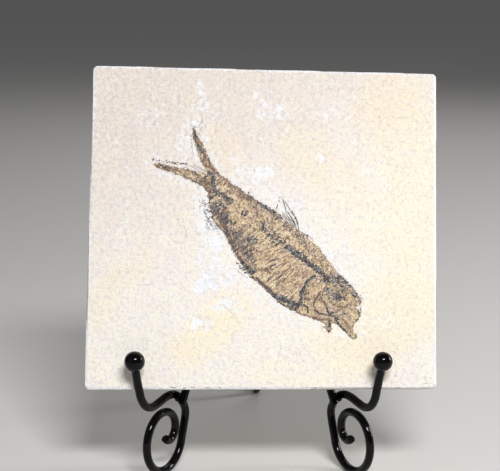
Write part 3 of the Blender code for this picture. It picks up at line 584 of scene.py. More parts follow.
# Thin grey haze, half strength, which the material breaks into specks.
HAZE = [
    (2.6, 0.52, (25.5, 44.5, 29.5, 42.5, 34, 41, 37.5, 38.5)),
    (2.6, 0.5, (-10.4, 60, -7.4, 56.4, -5, 52.6, -3.4, 49.6)),
    (2.4, 0.55, (-12.6, 63.2, -9.4, 60.8, -6.6, 59.4, -3, 59.4)),
    (2.3, 0.56, (-18.2, 73, -16.6, 70.6, -14.6, 68)), (2.2, 0.5, (-18, 79.5, -15.5, 77, -13, 75.4)),
    (2, 0.5, (26, 37.7, 27.6, 37, 28.9, 35.6), (26.5, 38.6, 29.5, 37.6, 33, 38)),
    (1.6, 0.42, (-6, 77.6, 0.6, 73.4, 5.6, 70.2)), (1.6, 0.4, (37.5, 37, 39.6, 35.2)),
    (1.5, 0.55, (28.1, 45.3, 31.7, 44.4)), (1.5, 0.5, (-19.2, 86, -18.8, 81), (4, 38, 9, 34.6, 14, 32)),
    (1.5, 0.48, (0.5, 66, 5, 61.5, 10.7, 57, 16.8, 52, 22.9, 47.6, 27, 44.6)),
    (1.3, 0.4, (21, 55.4, 27, 48.6)), (1.3, 0.38, (27.6, 31.6, 31, 30, 34.6, 29.4)),
    (1.2, 0.45, (3, 72.4, 7, 69.6, 10.4, 66.4, 14.6, 62.4, 18.6, 58.4), (17.4, 41, 16.4, 36)),
    (1, 0.4, (-24.2, 82.4, -22, 79.8)),
]
film = np.maximum(strokes(flat, FILM), strokes(flat, HAZE))
print("film and haze cover", round(100 * float((film > 0.5).mean())), "% of the fish")

# %% Strokes of brown and pale bone
BROWN = [
    (4.5, 0.34, (22, 42, 30, 37, 36, 32)),
    (2.2, 0.55, (-26.6, 104, -24.6, 98, -21.6, 91.5, -19, 88), (-41, 90, -34, 87.6, -27, 85.2, -22, 83)),
    (1.7, 0.6, (-11, 59.5, -9, 57.9, -6.3, 56.8)),
    (1.7, 0.55, (-11.7, 63.3, -9, 61.9, -7.2, 62.3, -4.9, 61.9)),
    (1.6, 0.85, (-18.9, 71.9, -17.1, 70, -15.7, 68.2, -14.6, 66.2)),
    (1.6, 0.65, (-24.9, 84.7, -21.9, 82.9, -20.7, 79.4)),
    (1.6, 0.6, (-9.2, 57.5, -7.3, 55.9, -5.3, 54, -3.4, 51.6)),
    (1.6, 0.55, (-22.2, 82.6, -20.8, 81, -20, 78.6)), (1.5, 0.5, (-5.9, 58.9, -4, 57.5, -2.6, 55.5)),
    (1.3, 0.6, (-10.7, 79.1, -8.2, 77.7, -5.4, 76.4, -2.7, 75.1), (-17.9, 87.1, -14.4, 84.7, -11, 81.7)),
    (1.3, 0.5, (-3, 76, -0.1, 74.4)), (1.2, 0.75, (-14.3, 71.9, -13.5, 69.9, -13.2, 67.7)),
    (1.2, 0.5, (2.9, 72.6, 5, 70.6, 7.7, 67.9), (10.5, 64.5, 13.2, 62.2, 16.1, 59.4, 19.4, 56.5),
     (-1.6, 48, 0.3, 46.8, 1.9, 47.8)),
    (1.1, 0.6, (-16.8, 82.6, -15, 83, -12.8, 81.5, -10.7, 79.7)),
    (1, 0.9, (-15.3, 66.2, -14.2, 64.6, -13.5, 62.3, -12.1, 59.2, -10.6, 55.4)),
    (1, 0.45, (31.5, 39.4, 34.4, 39.4, 36.1, 38.2)), (0.9, 0.75, (-26.6, 103.9, -25.4, 101.1, -24.2, 98.7)),
    (0.9, 0.55, (-7.1, 65.5)), (0.9, 0.5, (-30.7, 86.4, -27.9, 85.2)),
    (0.8, 0.7, (-21.4, 92.1, -19.8, 88.8)), (0.8, 0.5, (34.5, 32.3, 36.4, 31.1)),
    (0.8, 0.45, (-1.6, 50.9, 0.7, 51.9)), (0.7, 0.9, (-9.8, 54, -8.6, 52.6, -7.3, 50.6)),
    (0.7, 0.5, (22.7, 36.7, 23.9, 35.2)), (0.6, 0.9, (-24.4, 82.6, -22.9, 81, -21.3, 78.6, -20.5, 76.9)),
    (0.6, 0.8, (-11.8, 82, -8.2, 80.2, -3.6, 76.9, -0.9, 74.9, 3.7, 71.7)),
    (0.5, 0.85, (-1.6, 44.3, 1.1, 41.8, 3.8, 39.4, 5.7, 37.7),
     (-27.5, 104.5, -26.3, 100.5, -24.9, 98.2, -21.9, 93.2)),
    (0.5, 0.8, (-18.8, 72, -17.7, 71.9)),
    (0.5, 0.6, (-2, 73.2, -1.2, 70.3), (2.3, 68.5, 3.8, 67.1), (14.2, 30.7, 17.3, 29.5, 20.4, 28.4)),
    (0.5, 0.5, (4.4, 66.1, 4.6, 64.5)), (0.4, 0.9, (-9.2, 53.1, -7.7, 50.9)),
    (0.4, 0.7, (10.3, 61, 10.8, 60.2)),
    (0.38, 0.85, (23.9, 39.1, 23, 37.2, 21.8, 35.4, 21.3, 33.6, 21.6, 32)),
    (0.36, 0.8, (18.1, 39.4, 17.7, 36.5, 17.6, 34.6)),
    (0.36, 0.75, (16.8, 29.8, 20.9, 28.3, 24.3, 27.5, 28.5, 27.3), (24.3, 36.1, 25, 34.7, 26.2, 33.8),
     (28.1, 34.4, 30.6, 32.7, 33.5, 32.5, 35.6, 33.8)),
    (0.36, 0.7, (30.4, 30.4, 32.7, 32.3), (33.9, 25.2, 35.5, 24), (38.5, 27.1, 36.4, 24.4)),
    (0.36, 0.65, (33, 27.5, 35.5, 24.8)),
    (0.36, 0.6, (36.2, 35.2, 35.4, 33.8, 33.5, 33.4), (19.3, 38.2, 18.9, 35.2), (26.4, 33.4, 26.8, 31.1)),
    (0.36, 0.55, (21.6, 37.5, 21.4, 34.4, 22.2, 32.3)), (0.34, 0.8, (25.5, 34.5, 26.2, 33.1, 26.6, 32)),
    (0.3, 0.8, (-42.5, 89.9, -39.1, 88.5, -34.9, 86.9, -30.7, 85), (-38.1, 89.4, -38.8, 88.5)),
    (0.25, 0.75, (-31.6, 89.2, -28.4, 88, -26.1, 87.1)),
]
PALE = [
    (2, 0.75, (-3.6, 62.2, -1, 63.4, 1.1, 60.4)), (1.8, 0.8, (-3.6, 64.6, -1, 63.7, 0.8, 61)),
    (1.6, 0.7, (1.1, 57.5, 3.8, 58.3, 5, 55.9)), (1.6, 0.6, (-11.7, 70.9, -9, 69.1, -6.3, 67.3)),
    (1.5, 0.7, (11.6, 59.4, 14.5, 58.1)), (1.4, 0.6, (34.5, 29.2, 37.7, 29.2, 35.5, 26.5)),
    (1.4, 0.5, (-8.9, 73.1, -8.1, 72)), (1.3, 0.8, (-14.3, 80.6, -13.7, 79.3)),
    (1.3, 0.6, (33.5, 34.4, 37.7, 34.8)), (1.3, 0.55, (-6.3, 74.9, -4.5, 74.2)),
    (1.2, 0.6, (7.7, 64.3, 9.7, 62.2), (1.1, 44.3, 2.6, 45.9), (13.1, 36.7, 13.9, 38.5)),
    (1.1, 0.7, (4.6, 42.8, 6.1, 44.3)), (1.1, 0.5, (-7.9, 51.6, -6.3, 50.6)),
    (1, 0.7, (-12.1, 78.2, -10.7, 76.4)), (1, 0.6, (6.9, 50.7, 8.9, 49)),
    (0.9, 0.8, (-17.5, 76.8, -15.9, 76.6)), (0.9, 0.75, (-33, 87.6, -30.2, 87.1, -27.9, 85.7)),
    (0.9, 0.55, (18.9, 41.1, 20.6, 39.4)), (0.8, 0.8, (-23.1, 93.2, -22.1, 91.3)),
    (0.8, 0.7, (25.6, 38.6, 27.3, 36.5, 28.9, 34.8)), (0.8, 0.6, (24.3, 29.8, 26.8, 30.2)),
    (0.5, 0.8, (16.2, 35.7, 16.3, 35.5)), (0.5, 0.7, (-41.9, 89.7, -40, 89.2)),
    (0.5, 0.6, (-36.5, 88.3, -34.6, 87.6)), (0.42, 1, (17.6, 39.1, 17.3, 37.2, 17.2, 35.4, 17.7, 33.8)),
    (0.4, 0.9, (2.7, 68.7), (10.1, 62)),
    (0.38, 0.9, (19.3, 42.3, 20.7, 43.2, 22.6, 45.3), (27.6, 31.1, 27.8, 30.9)),
    (0.38, 0.8, (25.2, 35.7, 26.8, 33.8, 28.9, 32.9), (31, 30.2, 33.5, 32.3, 34.8, 32.3)),
    (0.38, 0.7, (22.7, 39.4, 25.2, 41.5)), (0.35, 0.85, (1.1, 63.4, 1.2, 63.2)),
]
brown = strokes(flat, BROWN)
brown = np.maximum(brown, 0.75 * smooth(1.1 - to_edge / 0.7))
pale = strokes(flat, PALE)
paint(fish, "marks", film, brown, pale, ribbed)
shares = [round(100 * float((mark > 0.5).mean())) for mark in (brown, pale)]
print("brown covers", shares[0], "% and pale", shares[1], "%")

# %% Give the sheet its UV map and a rim that goes into the stone
ROOT_DEPTH = 0.9
uv_layer = fish.data.uv_layers.new(name="body map")
corner_points = np.zeros(len(fish.data.loops), np.int32)
fish.data.loops.foreach_get("vertex_index", corner_points)
uv_rows = np.stack([along + RIB_SLANT * off_spine, above], axis=1)[corner_points] / 100
uv_layer.data.foreach_set("uv", uv_rows.astype(np.float32).ravel())
only(fish)
bpy.ops.object.mode_set(mode="EDIT")
bpy.ops.mesh.select_mode(type="EDGE")
bpy.ops.mesh.select_all(action="DESELECT")
bpy.ops.mesh.select_non_manifold()
bpy.ops.mesh.extrude_edges_move(TRANSFORM_OT_translate={"value": (0, ROOT_DEPTH * MM, 0)})
bpy.ops.mesh.fill(use_beauty=False)
bpy.ops.mesh.select_all(action="SELECT")
bpy.ops.mesh.normals_make_consistent(inside=False)
bpy.ops.object.mode_set(mode="OBJECT")
bpy.ops.object.shade_smooth_by_angle(angle=math.radians(40))
print("fish:", len(fish.data.polygons), "faces")

# %% [markdown]
# ## Fin rays and loose hairs of bone
#
# Behind the fish's back the rays of its fin are left as fine lines on the stone,
# and stray hairs of bone lie under the tail. Each is a curve with a thin round
# bevel, turned into a mesh. They lie half in the stone, so they stand only a
# tenth of a millimetre proud.

# %% Helpers for round lines
def round_curve(name, lines, radius, roundness, thin_ends):
    """A mesh of round lines through points in metres, each line thinner at its ends if asked."""
    bpy.ops.object.select_all(action="DESELECT")
    bpy.ops.curve.primitive_nurbs_path_add(location=(0, 0, 0))
    curve = bpy.context.object
    curve.name = name
    curve.data.splines.clear()
    curve.data.bevel_depth = radius * MM
    curve.data.bevel_resolution = roundness
    curve.data.use_fill_caps = True
    for line in lines:
        spline = curve.data.splines.new("POLY")
        spline.points.add(len(line) - 1)
        for k, (target, point) in enumerate(zip(spline.points, line)):
            target.co = (*point, 1)
            if thin_ends:
                target.radius = 0.45 + 0.55 * math.sin(math.pi * (k + 0.6) / len(line))
    bpy.ops.object.convert(target="MESH")
    return curve


def fine_lines(name, lines, radius, lift):
    """One mesh of thin round lines that lie on the face of the slab."""
    raised = [[(x * MM, -lift * MM, z * MM) for x, z in line] for line in lines]
    curve = round_curve(name, raised, radius, 0, True)
    print(name, "has", len(lines), "lines and", len(curve.data.polygons), "faces")
    return curve


def wandering(numbers, spacing, push):
    """A line in short steps that wander a little."""
    line = pairs(numbers)
    result = []
    for start, end in zip(line, line[1:]):
        count = max(1, round(np.hypot(*(end - start)) / spacing))
        for k in range(count):
            result.append(tuple(start + (end - start) * k / count + rng.normal(0, push, 2)))
    result.append(tuple(line[-1]))
    return result


# %% Fin rays behind the back
RAYS = [
    (9.4, 76, 9.2, 75.2, 9.5, 74.2), (9.3, 75, 9.9, 73.2, 10.4, 70.8, 10.5, 70.4),
    (9.7, 75.2, 10.9, 73.6, 11.9, 71.8), (12, 71.4, 13.2, 69.9, 14.2, 68.7, 15, 66.9),
    (13.8, 69.3, 14.4, 68.1, 15, 66.7), (15, 66.7, 15.1, 65.3, 15.5, 64),
    (8.5, 71, 9.9, 69.7, 11.3, 67.7, 12.6, 65.7, 13.8, 64.5),
    (8.9, 70.1, 10.3, 67.9, 11.6, 65.7, 12.6, 64.5), (10.3, 70.6, 11.6, 68.5, 12.8, 66.5, 13.6, 64.9),
    (10.9, 71.2, 12.2, 68.9, 13.4, 66.7, 14.2, 64.5), (11.5, 70.6, 12.8, 68.5, 14, 66.3, 14.6, 64.2),
    (8.9, 68.5, 9.9, 66.9, 10.9, 65.7), (6.2, 72.2, 6.8, 73.2, 7, 74.4),
]
fin_rays = fine_lines("fin_rays", [wandering(ray, 0.9, 0.06) for ray in RAYS], 0.19, 0.07)

# %% Stray hairs of bone, dirt in hairline cracks and painted shade under a scar
HAIRS = [
    (-24.8, 76.8, -24, 74.4, -24.4, 71.8), (-23.4, 76, -22.2, 74, -22.6, 71.6),
    (-22.8, 71.6, -21.6, 69, -20.2, 66.4), (-21.6, 68.2, -21.9, 66, -20.4, 64.2),
    (-20.3, 66.4, -18.6, 64.2, -16, 64.6), (-22.4, 65, -20.8, 64.1, -18.8, 63.5), (-20.9, 74.8, -22.4, 73.4),
    (-20.2, 71.9, -21.9, 70.2), (-19.6, 69.2, -21.3, 67.6), (-24.6, 106, -23.4, 108.4, -23.9, 111),
    (-22.8, 107.6, -21.9, 105.2), (-27.6, 90.9, -25.4, 89.4, -22.4, 87.4),
    (-29.6, 90.4, -26.4, 88.9, -23.6, 87.6), (-25.4, 90.4, -23.6, 88.6, -22, 87.2), (-32, 89.4, -28.6, 88.8),
    (-28.4, 101.2, -27.9, 97.6, -27, 93.6), (-9.4, 47.6, -7.2, 45.6, -5, 44.4),
    (26.2, 25.4, 24.9, 24.4, 24.4, 22.8), (27.9, 23.6, 27, 21.8),
]
# The first line follows the lower outline of the large scar: there it is painted shade along the scar's step.
# The rest are dirt in hairline cracks.
CRACK_AND_SCAR_SHADE_LINES = [
    (-27.7, 39.2, -25.6, 37.9, -24, 38.1, -22.2, 39.6, -20.2, 40.2, -18.6, 38.9, -17.2, 38.5),
    (-15.1, 33.7, -12.7, 31.5, -10.2, 28.8, -9, 26.6, -7.5, 24.2), (20.9, 20.5, 24, 19.3, 26.4, 18.7),
    (-33.5, 38.9, -30.4, 35.8), (-15.8, 46.9, -13.9, 44.4, -11.5, 42.6),
    (-31.2, 66, -29.6, 62.4, -30.3, 58.8), (62.9, 1.7, 65.2, 2.1, 68.6, 1.9, 69.3, 1.6),
    (64.5, 0.6, 67, 1, 69, 1.5), (26.4, 18.7, 28.4, 18.1, 30, 17.8), (-41, 24, -38.6, 21.2),
    (-67.5, 93.1, -66.2, 91, -67.7, 88.9, -67.9, 85.8), (-68.1, 75.9, -68.5, 71.8),
    (-53.7, 83.2, -50.6, 78.5, -49.5, 75.9, -48, 72.8), (-35.6, 72.8, -34.1, 68.7, -32, 65.6),
]
hairs = fine_lines("stray_hairs", [wandering(hair, 0.9, 0.16) for hair in HAIRS], 0.09, 0.03)
cracks = fine_lines("crack_dirt_and_scar_shade", [wandering(crack, 0.8, 0.14) for crack in CRACK_AND_SCAR_SHADE_LINES], 0.075, 0.0)

# %% Painted shade in the chips of the bottom rim
# Each is a short level dash: its left end, its right end and its height.
CHIP_SHADE_DASHES = [
    (-39.9, -39.2, 0.5), (-35.5, -33.6, 0.7), (-30.8, -29.7, 0.5), (-27.7, -25.9, 0.8), (-22.0, -19.8, 0.7),
    (-16.7, -15.6, 0.7), (20.2, 22.5, 0.5), (31.3, 32.7, 1.1), (53.3, 55.6, 0.5),
]
chip_shade_lines = [wandering((left, z, right, z), 0.5, 0.05) for left, right, z in CHIP_SHADE_DASHES]
rim_chip_shade = fine_lines("rim_chip_shade", chip_shade_lines, 0.17, 0.0)

# %% [markdown]
# ## Crumbs of bone
#
# Along its edge the fish has crumbled into dark specks, and more of them lie
# under the tail and on the fins. One rough pebble with few faces is modelled,
# and then it is copied with a random size and turn to each of its places.

# %% Model one crumb
bpy.ops.object.select_all(action="DESELECT")
bpy.ops.mesh.primitive_ico_sphere_add(subdivisions=1, radius=1, location=(0, 0, 0))
crumb = bpy.context.object
bpy.ops.object.mode_set(mode="EDIT")
bpy.ops.transform.vertex_random(offset=0.25, seed=5)
bpy.ops.object.mode_set(mode="OBJECT")
crumb_points = np.array([vert.co for vert in crumb.data.vertices])
crumb_faces = np.array([list(face.vertices) for face in crumb.data.polygons])
bpy.data.objects.remove(crumb, do_unlink=True)
print("a crumb has", len(crumb_faces), "faces")

# %% Scatter the crumbs
# Each zone: how many, how far they stray, smallest and largest radius, and a line x, z, x, z ...
CRUMB_ZONES = [
    (76, 0.4, 0.12, 0.34, -43.9, 92.3, -40.6, 91.8, -36.9, 91.4, -33.2, 90.8, -29.8, 90.6),
    (95, 1.3, 0.09, 0.24, -22.6, 76.6, -22.4, 72, -20.8, 68.2, -18.4, 64.6, -15.8, 63.4),
    (90, 0.7, 0.12, 0.34, -20.9, 78, -20.4, 73.6, -19, 68.6, -16.8, 64.6),
    (44, 0.5, 0.12, 0.34, -9.6, 50.4, -6.6, 47.4, -3.6, 44.4),
    (60, 0.45, 0.12, 0.36, 4.6, 36.8, 8.4, 34, 12.4, 31.6, 16.6, 29.6),
    (56, 0.5, 0.12, 0.34, 0.6, 74.2, 3.4, 72.8, 6.4, 71, 9, 69),
    (14, 0.6, 0.1, 0.22, 7, 75.6, 9, 76.6, 10.4, 74.8),
    (26, 0.35, 0.1, 0.26, 12.6, 71.4, 14, 68.8, 15.4, 65),
    (26, 0.4, 0.12, 0.3, 16.8, 62.4, 19, 61.4, 20.8, 60),
    (26, 0.35, 0.1, 0.3, -14, 84.7, -7.8, 80.4, -2, 76.6),
    (30, 0.35, 0.1, 0.3, 20.6, 59.4, 27.8, 51, 33.9, 44.2, 38.2, 39.2),
    (60, 0.35, 0.1, 0.28, -14.4, 61.2, -10, 53.2, -4.6, 45.8, 2.6, 38.6),
    (30, 0.55, 0.12, 0.3, 25.4, 25.4, 27.2, 22.8, 28.4, 24),
    (26, 0.45, 0.12, 0.3, 36, 20.6, 38, 20.4, 38.2, 22),
    (34, 0.35, 0.12, 0.3, 40.2, 37, 40.9, 34.4, 39.8, 31.6, 39.6, 28.6),
    (24, 0.35, 0.1, 0.28, -27.2, 104.8, -24.6, 100.2, -22.6, 96.6, -20.4, 91.6),
    (18, 0.35, 0.1, 0.28, -39.6, 88, -32.8, 85.8, -26.6, 82.6, -22.4, 79.8),
    (40, 1.4, 0.08, 0.2, -26, 106.4, -24, 104, -28.6, 100), (26, 6, 0.08, 0.18, -30, 60, -24, 84, -4, 92),
    (10, 20, 0.08, 0.17, -40, 40, 40, 100), (2, 0.1, 0.2, 0.28, -2.5, 87.9, -2.3, 88),
    (2, 0.1, 0.16, 0.22, 21.2, 100.5, 21.3, 100.6), (2, 0.1, 0.12, 0.18, 53.5, 5.2, 53.6, 5.3),
]
spots, radii = [], []
for count, stray, smallest, largest, *line in CRUMB_ZONES:
    line = pairs(line)
    lengths = np.hypot(*np.diff(line, axis=0).T)
    ends = np.concatenate([[0], np.cumsum(lengths)])
    at = rng.uniform(0, ends[-1], count)
    spots.append(np.stack([np.interp(at, ends, line[:, k]) for k in (0, 1)], axis=1)
                 + rng.normal(0, stray / 1.6, (count, 2)))
    radii.append(smallest + (largest - smallest) * rng.uniform(0, 1, count) ** 2.2)
spots, radii = np.concatenate(spots), np.concatenate(radii)
print(len(spots), "crumbs")

# %% Build them as one piece
LIFT_ON_FISH = 0.34
LIFT_ON_STONE = 0.03
all_points, all_faces = [], []
for (x, z), radius in zip(spots, radii):
    turn = Matrix.Rotation(rng.uniform(0, math.tau), 3, "Y")
    turn = turn @ Matrix.Rotation(rng.uniform(0, math.tau), 3, "X")
    stretch = np.array([radius * rng.uniform(0.8, 1.8), 0.0, radius * rng.uniform(0.7, 1.1)])
    stretch[1] = min(0.22, radius * 0.8)
    shape = (crumb_points @ np.array(turn)) * stretch
    swing = rng.uniform(0, math.tau)
    x_new = shape[:, 0] * math.cos(swing) - shape[:, 2] * math.sin(swing)
    z_new = shape[:, 0] * math.sin(swing) + shape[:, 2] * math.cos(swing)
    all_faces.append(crumb_faces + len(crumb_points) * len(all_points))
    on_fish = inside(fish_outline, np.array([[x, z]]))[0]
    height = LIFT_ON_FISH if on_fish else LIFT_ON_STONE
    all_points.append(np.stack([x + x_new, shape[:, 1] - height, z + z_new], axis=1) * MM)
crumb_mesh = bpy.data.meshes.new("bone_crumbs")
crumb_mesh.from_pydata(np.concatenate(all_points).tolist(), [], np.concatenate(all_faces).tolist())
crumbs = bpy.data.objects.new("bone_crumbs", crumb_mesh)
bpy.context.collection.objects.link(crumbs)
only(crumbs)
bpy.ops.object.mode_set(mode="EDIT")
bpy.ops.mesh.select_all(action="SELECT")
bpy.ops.mesh.normals_make_consistent(inside=False)
bpy.ops.object.mode_set(mode="OBJECT")
print("crumbs:", len(crumb_mesh.polygons), "faces")

# %% [markdown]
# ## Tints of the stone
#
# The face is cream, with yellow stains of iron, and a pinkish grey towards the
# top left that is also painted shade, darker where the light falls off. It is
# nearly white where fresh stone shows: in the scars and in a halo that was
# scraped clean round the fish. A pale band along the rubbed rim is a painted
# highlight, where the edge catches the light. The tints are stored on the points.

# %% Paint the tints of the slab
YELLOW = [
    (16, 1, (36, 20, 62, 34)), (15, 0.8, (54, 116, 62, 84, 60, 60)), (12, 0.55, (20, 96, 48, 62)),
    (8, 1, (-28, 16, -18, 24, -12, 32)), (7, 0.4, (-2, 8, 24, 6)), (6, 0.6, (-18, 88, -13, 90.5)),
    (6, 0.5, (-66, 30, -58, 44, -46, 52)), (5, 0.6, (-20, 102, -12, 98)),
]
WHITE = [
    (6, 0.45, (-30, 98, -24, 110)), (5.5, 0.75, (-23, 76, -20.5, 66, -18, 60)), (5, 0.6, (-21, 52, -13, 44)),
    (5, 0.45, (2, 80, 12, 72)), (2.6, 0.8, (-17.6, 32.2, -12.1, 35, -9, 32)),
    (2.6, 0.7, (-26, 25.6, -21.5, 25.4)), (2.2, 0.7, (-2, 87.4, 4, 88.4)),
    (2.2, 0.6, (-10.5, 92.6, -7.9, 87.9, -2.7, 83.7, 3, 86.9, 5.5, 90.5)),
    (2, 0.6, (-29.1, 100.5, -28, 96.3)), (1.6, 0.6, (-0.1, 111, 9.2, 111)),
    (1.5, 0.6, (23.2, 94.4, 24.2, 92.6)), (1.3, 0.7, (-1.7, 119.4, 0.9, 115.2, 5.1, 114.7, 9.2, 113.9)),
    (1.3, 0.6, (-25, 123.7, -23.2, 119.4, -22.9, 109.9, -27, 106.8)),
]
places = points_of(slab)
flat = places[:, [0, 2]]
near_fish = nearest_on(fish_outline + fish_outline[:1], flat)[0]
mottle = clouds(places, 7.0, 4.0)
yellow = strokes(flat, YELLOW) + 0.25 * clouds(places, 20.0, 8.0) + 0.2 * mottle
halo = smooth(1 - near_fish / 7.0) * (0.30 + 0.45 * clouds(places, 4.0, 6.0))
white_and_rim_highlight = np.maximum(strokes(flat, WHITE) * (0.75 + 0.6 * clouds(places, 3.2, 12.0)), halo)
white_and_rim_highlight = np.maximum(white_and_rim_highlight, 0.95 * (inside(LARGE_SCAR, flat) & (places[:, 1] < 2)))
white_and_rim_highlight = np.maximum(white_and_rim_highlight, 0.18 * in_scar * (places[:, 1] < 2))
white_and_rim_highlight += 0.25 * mottle + 0.3 * clouds(places, 2.6, 1.0)
# A pinkish grey that darkens the face towards the top left: partly the stone's tint, partly painted shade
# where the light falls off.
pink_and_shade = smooth((flat[:, 1] - flat[:, 0] * 0.45 - 30) / 120) + 0.15 * mottle
# A pale band along the rim of the face is a painted highlight, where the edge catches the light.
rim = CORNERS[(-1, -1)], CORNERS[(1, -1)], CORNERS[(1, 1)], CORNERS[(-1, 1)], CORNERS[(-1, -1)]
from_rim = nearest_on(rim, flat)[0]
white_and_rim_highlight = np.maximum(white_and_rim_highlight, 0.9 * smooth(1.6 - from_rim / 0.8))
sides = smooth((places[:, 1] - 0.5) / 0.8)
paint(slab, "tints", np.clip(yellow, 0, 1), np.clip(white_and_rim_highlight, 0, 1), np.clip(pink_and_shade, 0, 1), sides)
only(slab)
bpy.ops.object.shade_smooth_by_angle(angle=math.radians(35))
print("tints painted on", len(places), "points")

# %% Lean the slab back with all that lies on it
for piece in (slab, fish, fin_rays, hairs, cracks, rim_chip_shade, crumbs):
    lean_back(piece)
technical_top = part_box("limestone_slab")[1][2]
print("slab leans; it rises to", round(max(v.co.z for v in slab.data.vertices) / MM, 1),
      "mm, and the technical one to", round(technical_top / MM, 1), "mm")

# %% [markdown]
# ## The wire of the easel
#
# Each front wire is one length: from the ball it comes down as an arm, turns
# under the slab as a hook, runs back as a seat, and winds up in a scroll that is
# the foot. It is drawn as a line in an upright plane of its own, which is turned
# outwards. A curve with a round bevel gives the line its thickness. The wires were
# bent by hand, so the left arm stands a little more upright than the right one.

# %% The line of a scroll wire
SCROLL_X = 38.3
SCROLL_BEHIND_EDGE = 12.4
SCROLL_SPLAY = math.radians(31)
SCROLL_RADIUS = 12.7
SCROLL_MIDDLE = SCROLL_RADIUS + WIRE_RADIUS - 0.25
CURL_RISE = 2.3                 # of the curl's inner end, above the scroll's middle
CURL_RADIUS = 1.9               # at its inner end
CURL_START = 400                # degrees along the scroll where it begins to wind in
CURL_TURN = 215                 # degrees that it winds on
LEFT_ARM = [(20.1, 52.6), (19.5, 49.0), (18.6, 44.6), (17.4, 40.2), (15.9, 35.9), (12.9, 32.2)]
RIGHT_ARM = [(20.1, 52.6), (19.1, 49.0), (17.8, 44.6), (16.6, 40.2), (15.3, 35.9), (12.6, 32.2)]
SEAT = [
    (8.4, 30.7), (3.6, 31.3), (-1.0, 32.2), (-5.8, 32.1), (-10.4, 30.0), (-13.8, 26.1),
    (-15.3, 21.4),
]


def in_wire_plane(side, u, v):
    """A point of a scroll wire's plane, side -1 for the left wire and 1 for the right."""
    return Vector((EASEL_X + side * (SCROLL_X + u * math.sin(SCROLL_SPLAY)),
                   SLAB_ORIGIN.y + SCROLL_BEHIND_EDGE - u * math.cos(SCROLL_SPLAY), v))


scroll = []
for degrees in np.arange(190, 616, 12.5):
    share = max(0.0, (degrees - CURL_START) / CURL_TURN)
    radius = SCROLL_RADIUS + (CURL_RADIUS - SCROLL_RADIUS) * share ** 1.5
    angle = math.radians(degrees)
    scroll.append((radius * math.cos(angle), SCROLL_MIDDLE + CURL_RISE * share + radius * math.sin(angle)))
print("the scroll is drawn with", len(scroll), "points")

# %% A helper for wires
def smooth_line(points, steps):
    """Points along a smooth curve through the given points."""
    points = [2 * Vector(points[0]) - Vector(points[1]), *[Vector(p) for p in points],
              2 * Vector(points[-1]) - Vector(points[-2])]
    line = []
    for a, b, c, d in zip(points, points[1:], points[2:], points[3:]):
        for k in range(steps):
            t = k / steps
            line.append(0.5 * (2 * b + (c - a) * t + (2 * a - 5 * b + 4 * c - d) * t * t
                               + (3 * b - a - 3 * c + d) * t ** 3))
    return line + [points[-2]]


def wire(name, line):
    """A round wire along a line of points in millimetres, with flat ends, ground flat on the floor."""
    curve = round_curve(name, [[point * MM for point in line]], WIRE_RADIUS, 8, False)
    bpy.ops.object.mode_set(mode="EDIT")
    bpy.ops.mesh.select_all(action="SELECT")
    bpy.ops.mesh.remove_doubles(threshold=0.001 * MM)
    bpy.ops.mesh.normals_make_consistent(inside=False)
    bpy.ops.mesh.select_all(action="SELECT")
    bpy.ops.mesh.bisect(plane_co=(0, 0, 0), plane_no=(0, 0, 1), threshold=0.001 * MM,
                        clear_inner=True, use_fill=True)
    bpy.ops.object.mode_set(mode="OBJECT")
    bpy.ops.object.shade_smooth_by_angle(angle=math.radians(50))
    print(name, "has", len(curve.data.polygons), "faces")
    return curve


# %% Bend the two scroll wires
left_line = [in_wire_plane(-1, u, v) for u, v in smooth_line(LEFT_ARM + SEAT + scroll, 6)]
right_line = [in_wire_plane(1, u, v) for u, v in smooth_line(RIGHT_ARM + SEAT + scroll, 6)]
left_wire = wire("left_scroll_enamelled", left_line)
right_wire = wire("right_scroll_enamelled", right_line)

# %% [markdown]
# ## The back of the easel
#
# Two straight uprights stand against the slab's back and lean together at the
# top. A short bar ties them, and a leg reaches back to the floor and turns up at
# its end so that it doesn't scratch the shelf.

# %% Uprights, spreader bar and rear leg
def on_slab(x, depth, z):
    """A point of the slab's own frame, in the world, in millimetres."""
    return SLAB_ORIGIN + Matrix.Rotation(-LEAN, 3, "X") @ Vector((x, depth, z))


BEHIND = THICKNESS + 0.3 + WIRE_RADIUS
MIDDLE = EASEL_X - SLAB_ORIGIN.x
FOOT_X = SCROLL_X - 6.1 * math.sin(SCROLL_SPLAY) - 2 * WIRE_RADIUS - 0.3
TOP_X = WIRE_RADIUS + 0.15
UPRIGHT_Z = (-6.0, 96.0)
uprights = []
for side, word in ((-1, "left"), (1, "right")):
    foot = on_slab(MIDDLE + side * FOOT_X, BEHIND, UPRIGHT_Z[0])
    top = on_slab(MIDDLE + side * TOP_X, BEHIND, UPRIGHT_Z[1])
    uprights.append(wire(word + "_upright_enamelled", [foot, foot.lerp(top, 0.5), top]))
BAR_SHARE = 0.42
bar_x = FOOT_X + (TOP_X - FOOT_X) * BAR_SHARE + 2.0
bar_z = UPRIGHT_Z[0] + (UPRIGHT_Z[1] - UPRIGHT_Z[0]) * BAR_SHARE
bar_depth = BEHIND + 2 * WIRE_RADIUS + 0.15
spreader = wire("spreader_enamelled", [on_slab(MIDDLE + side * bar_x, bar_depth, bar_z) for side in (-1, 1)])

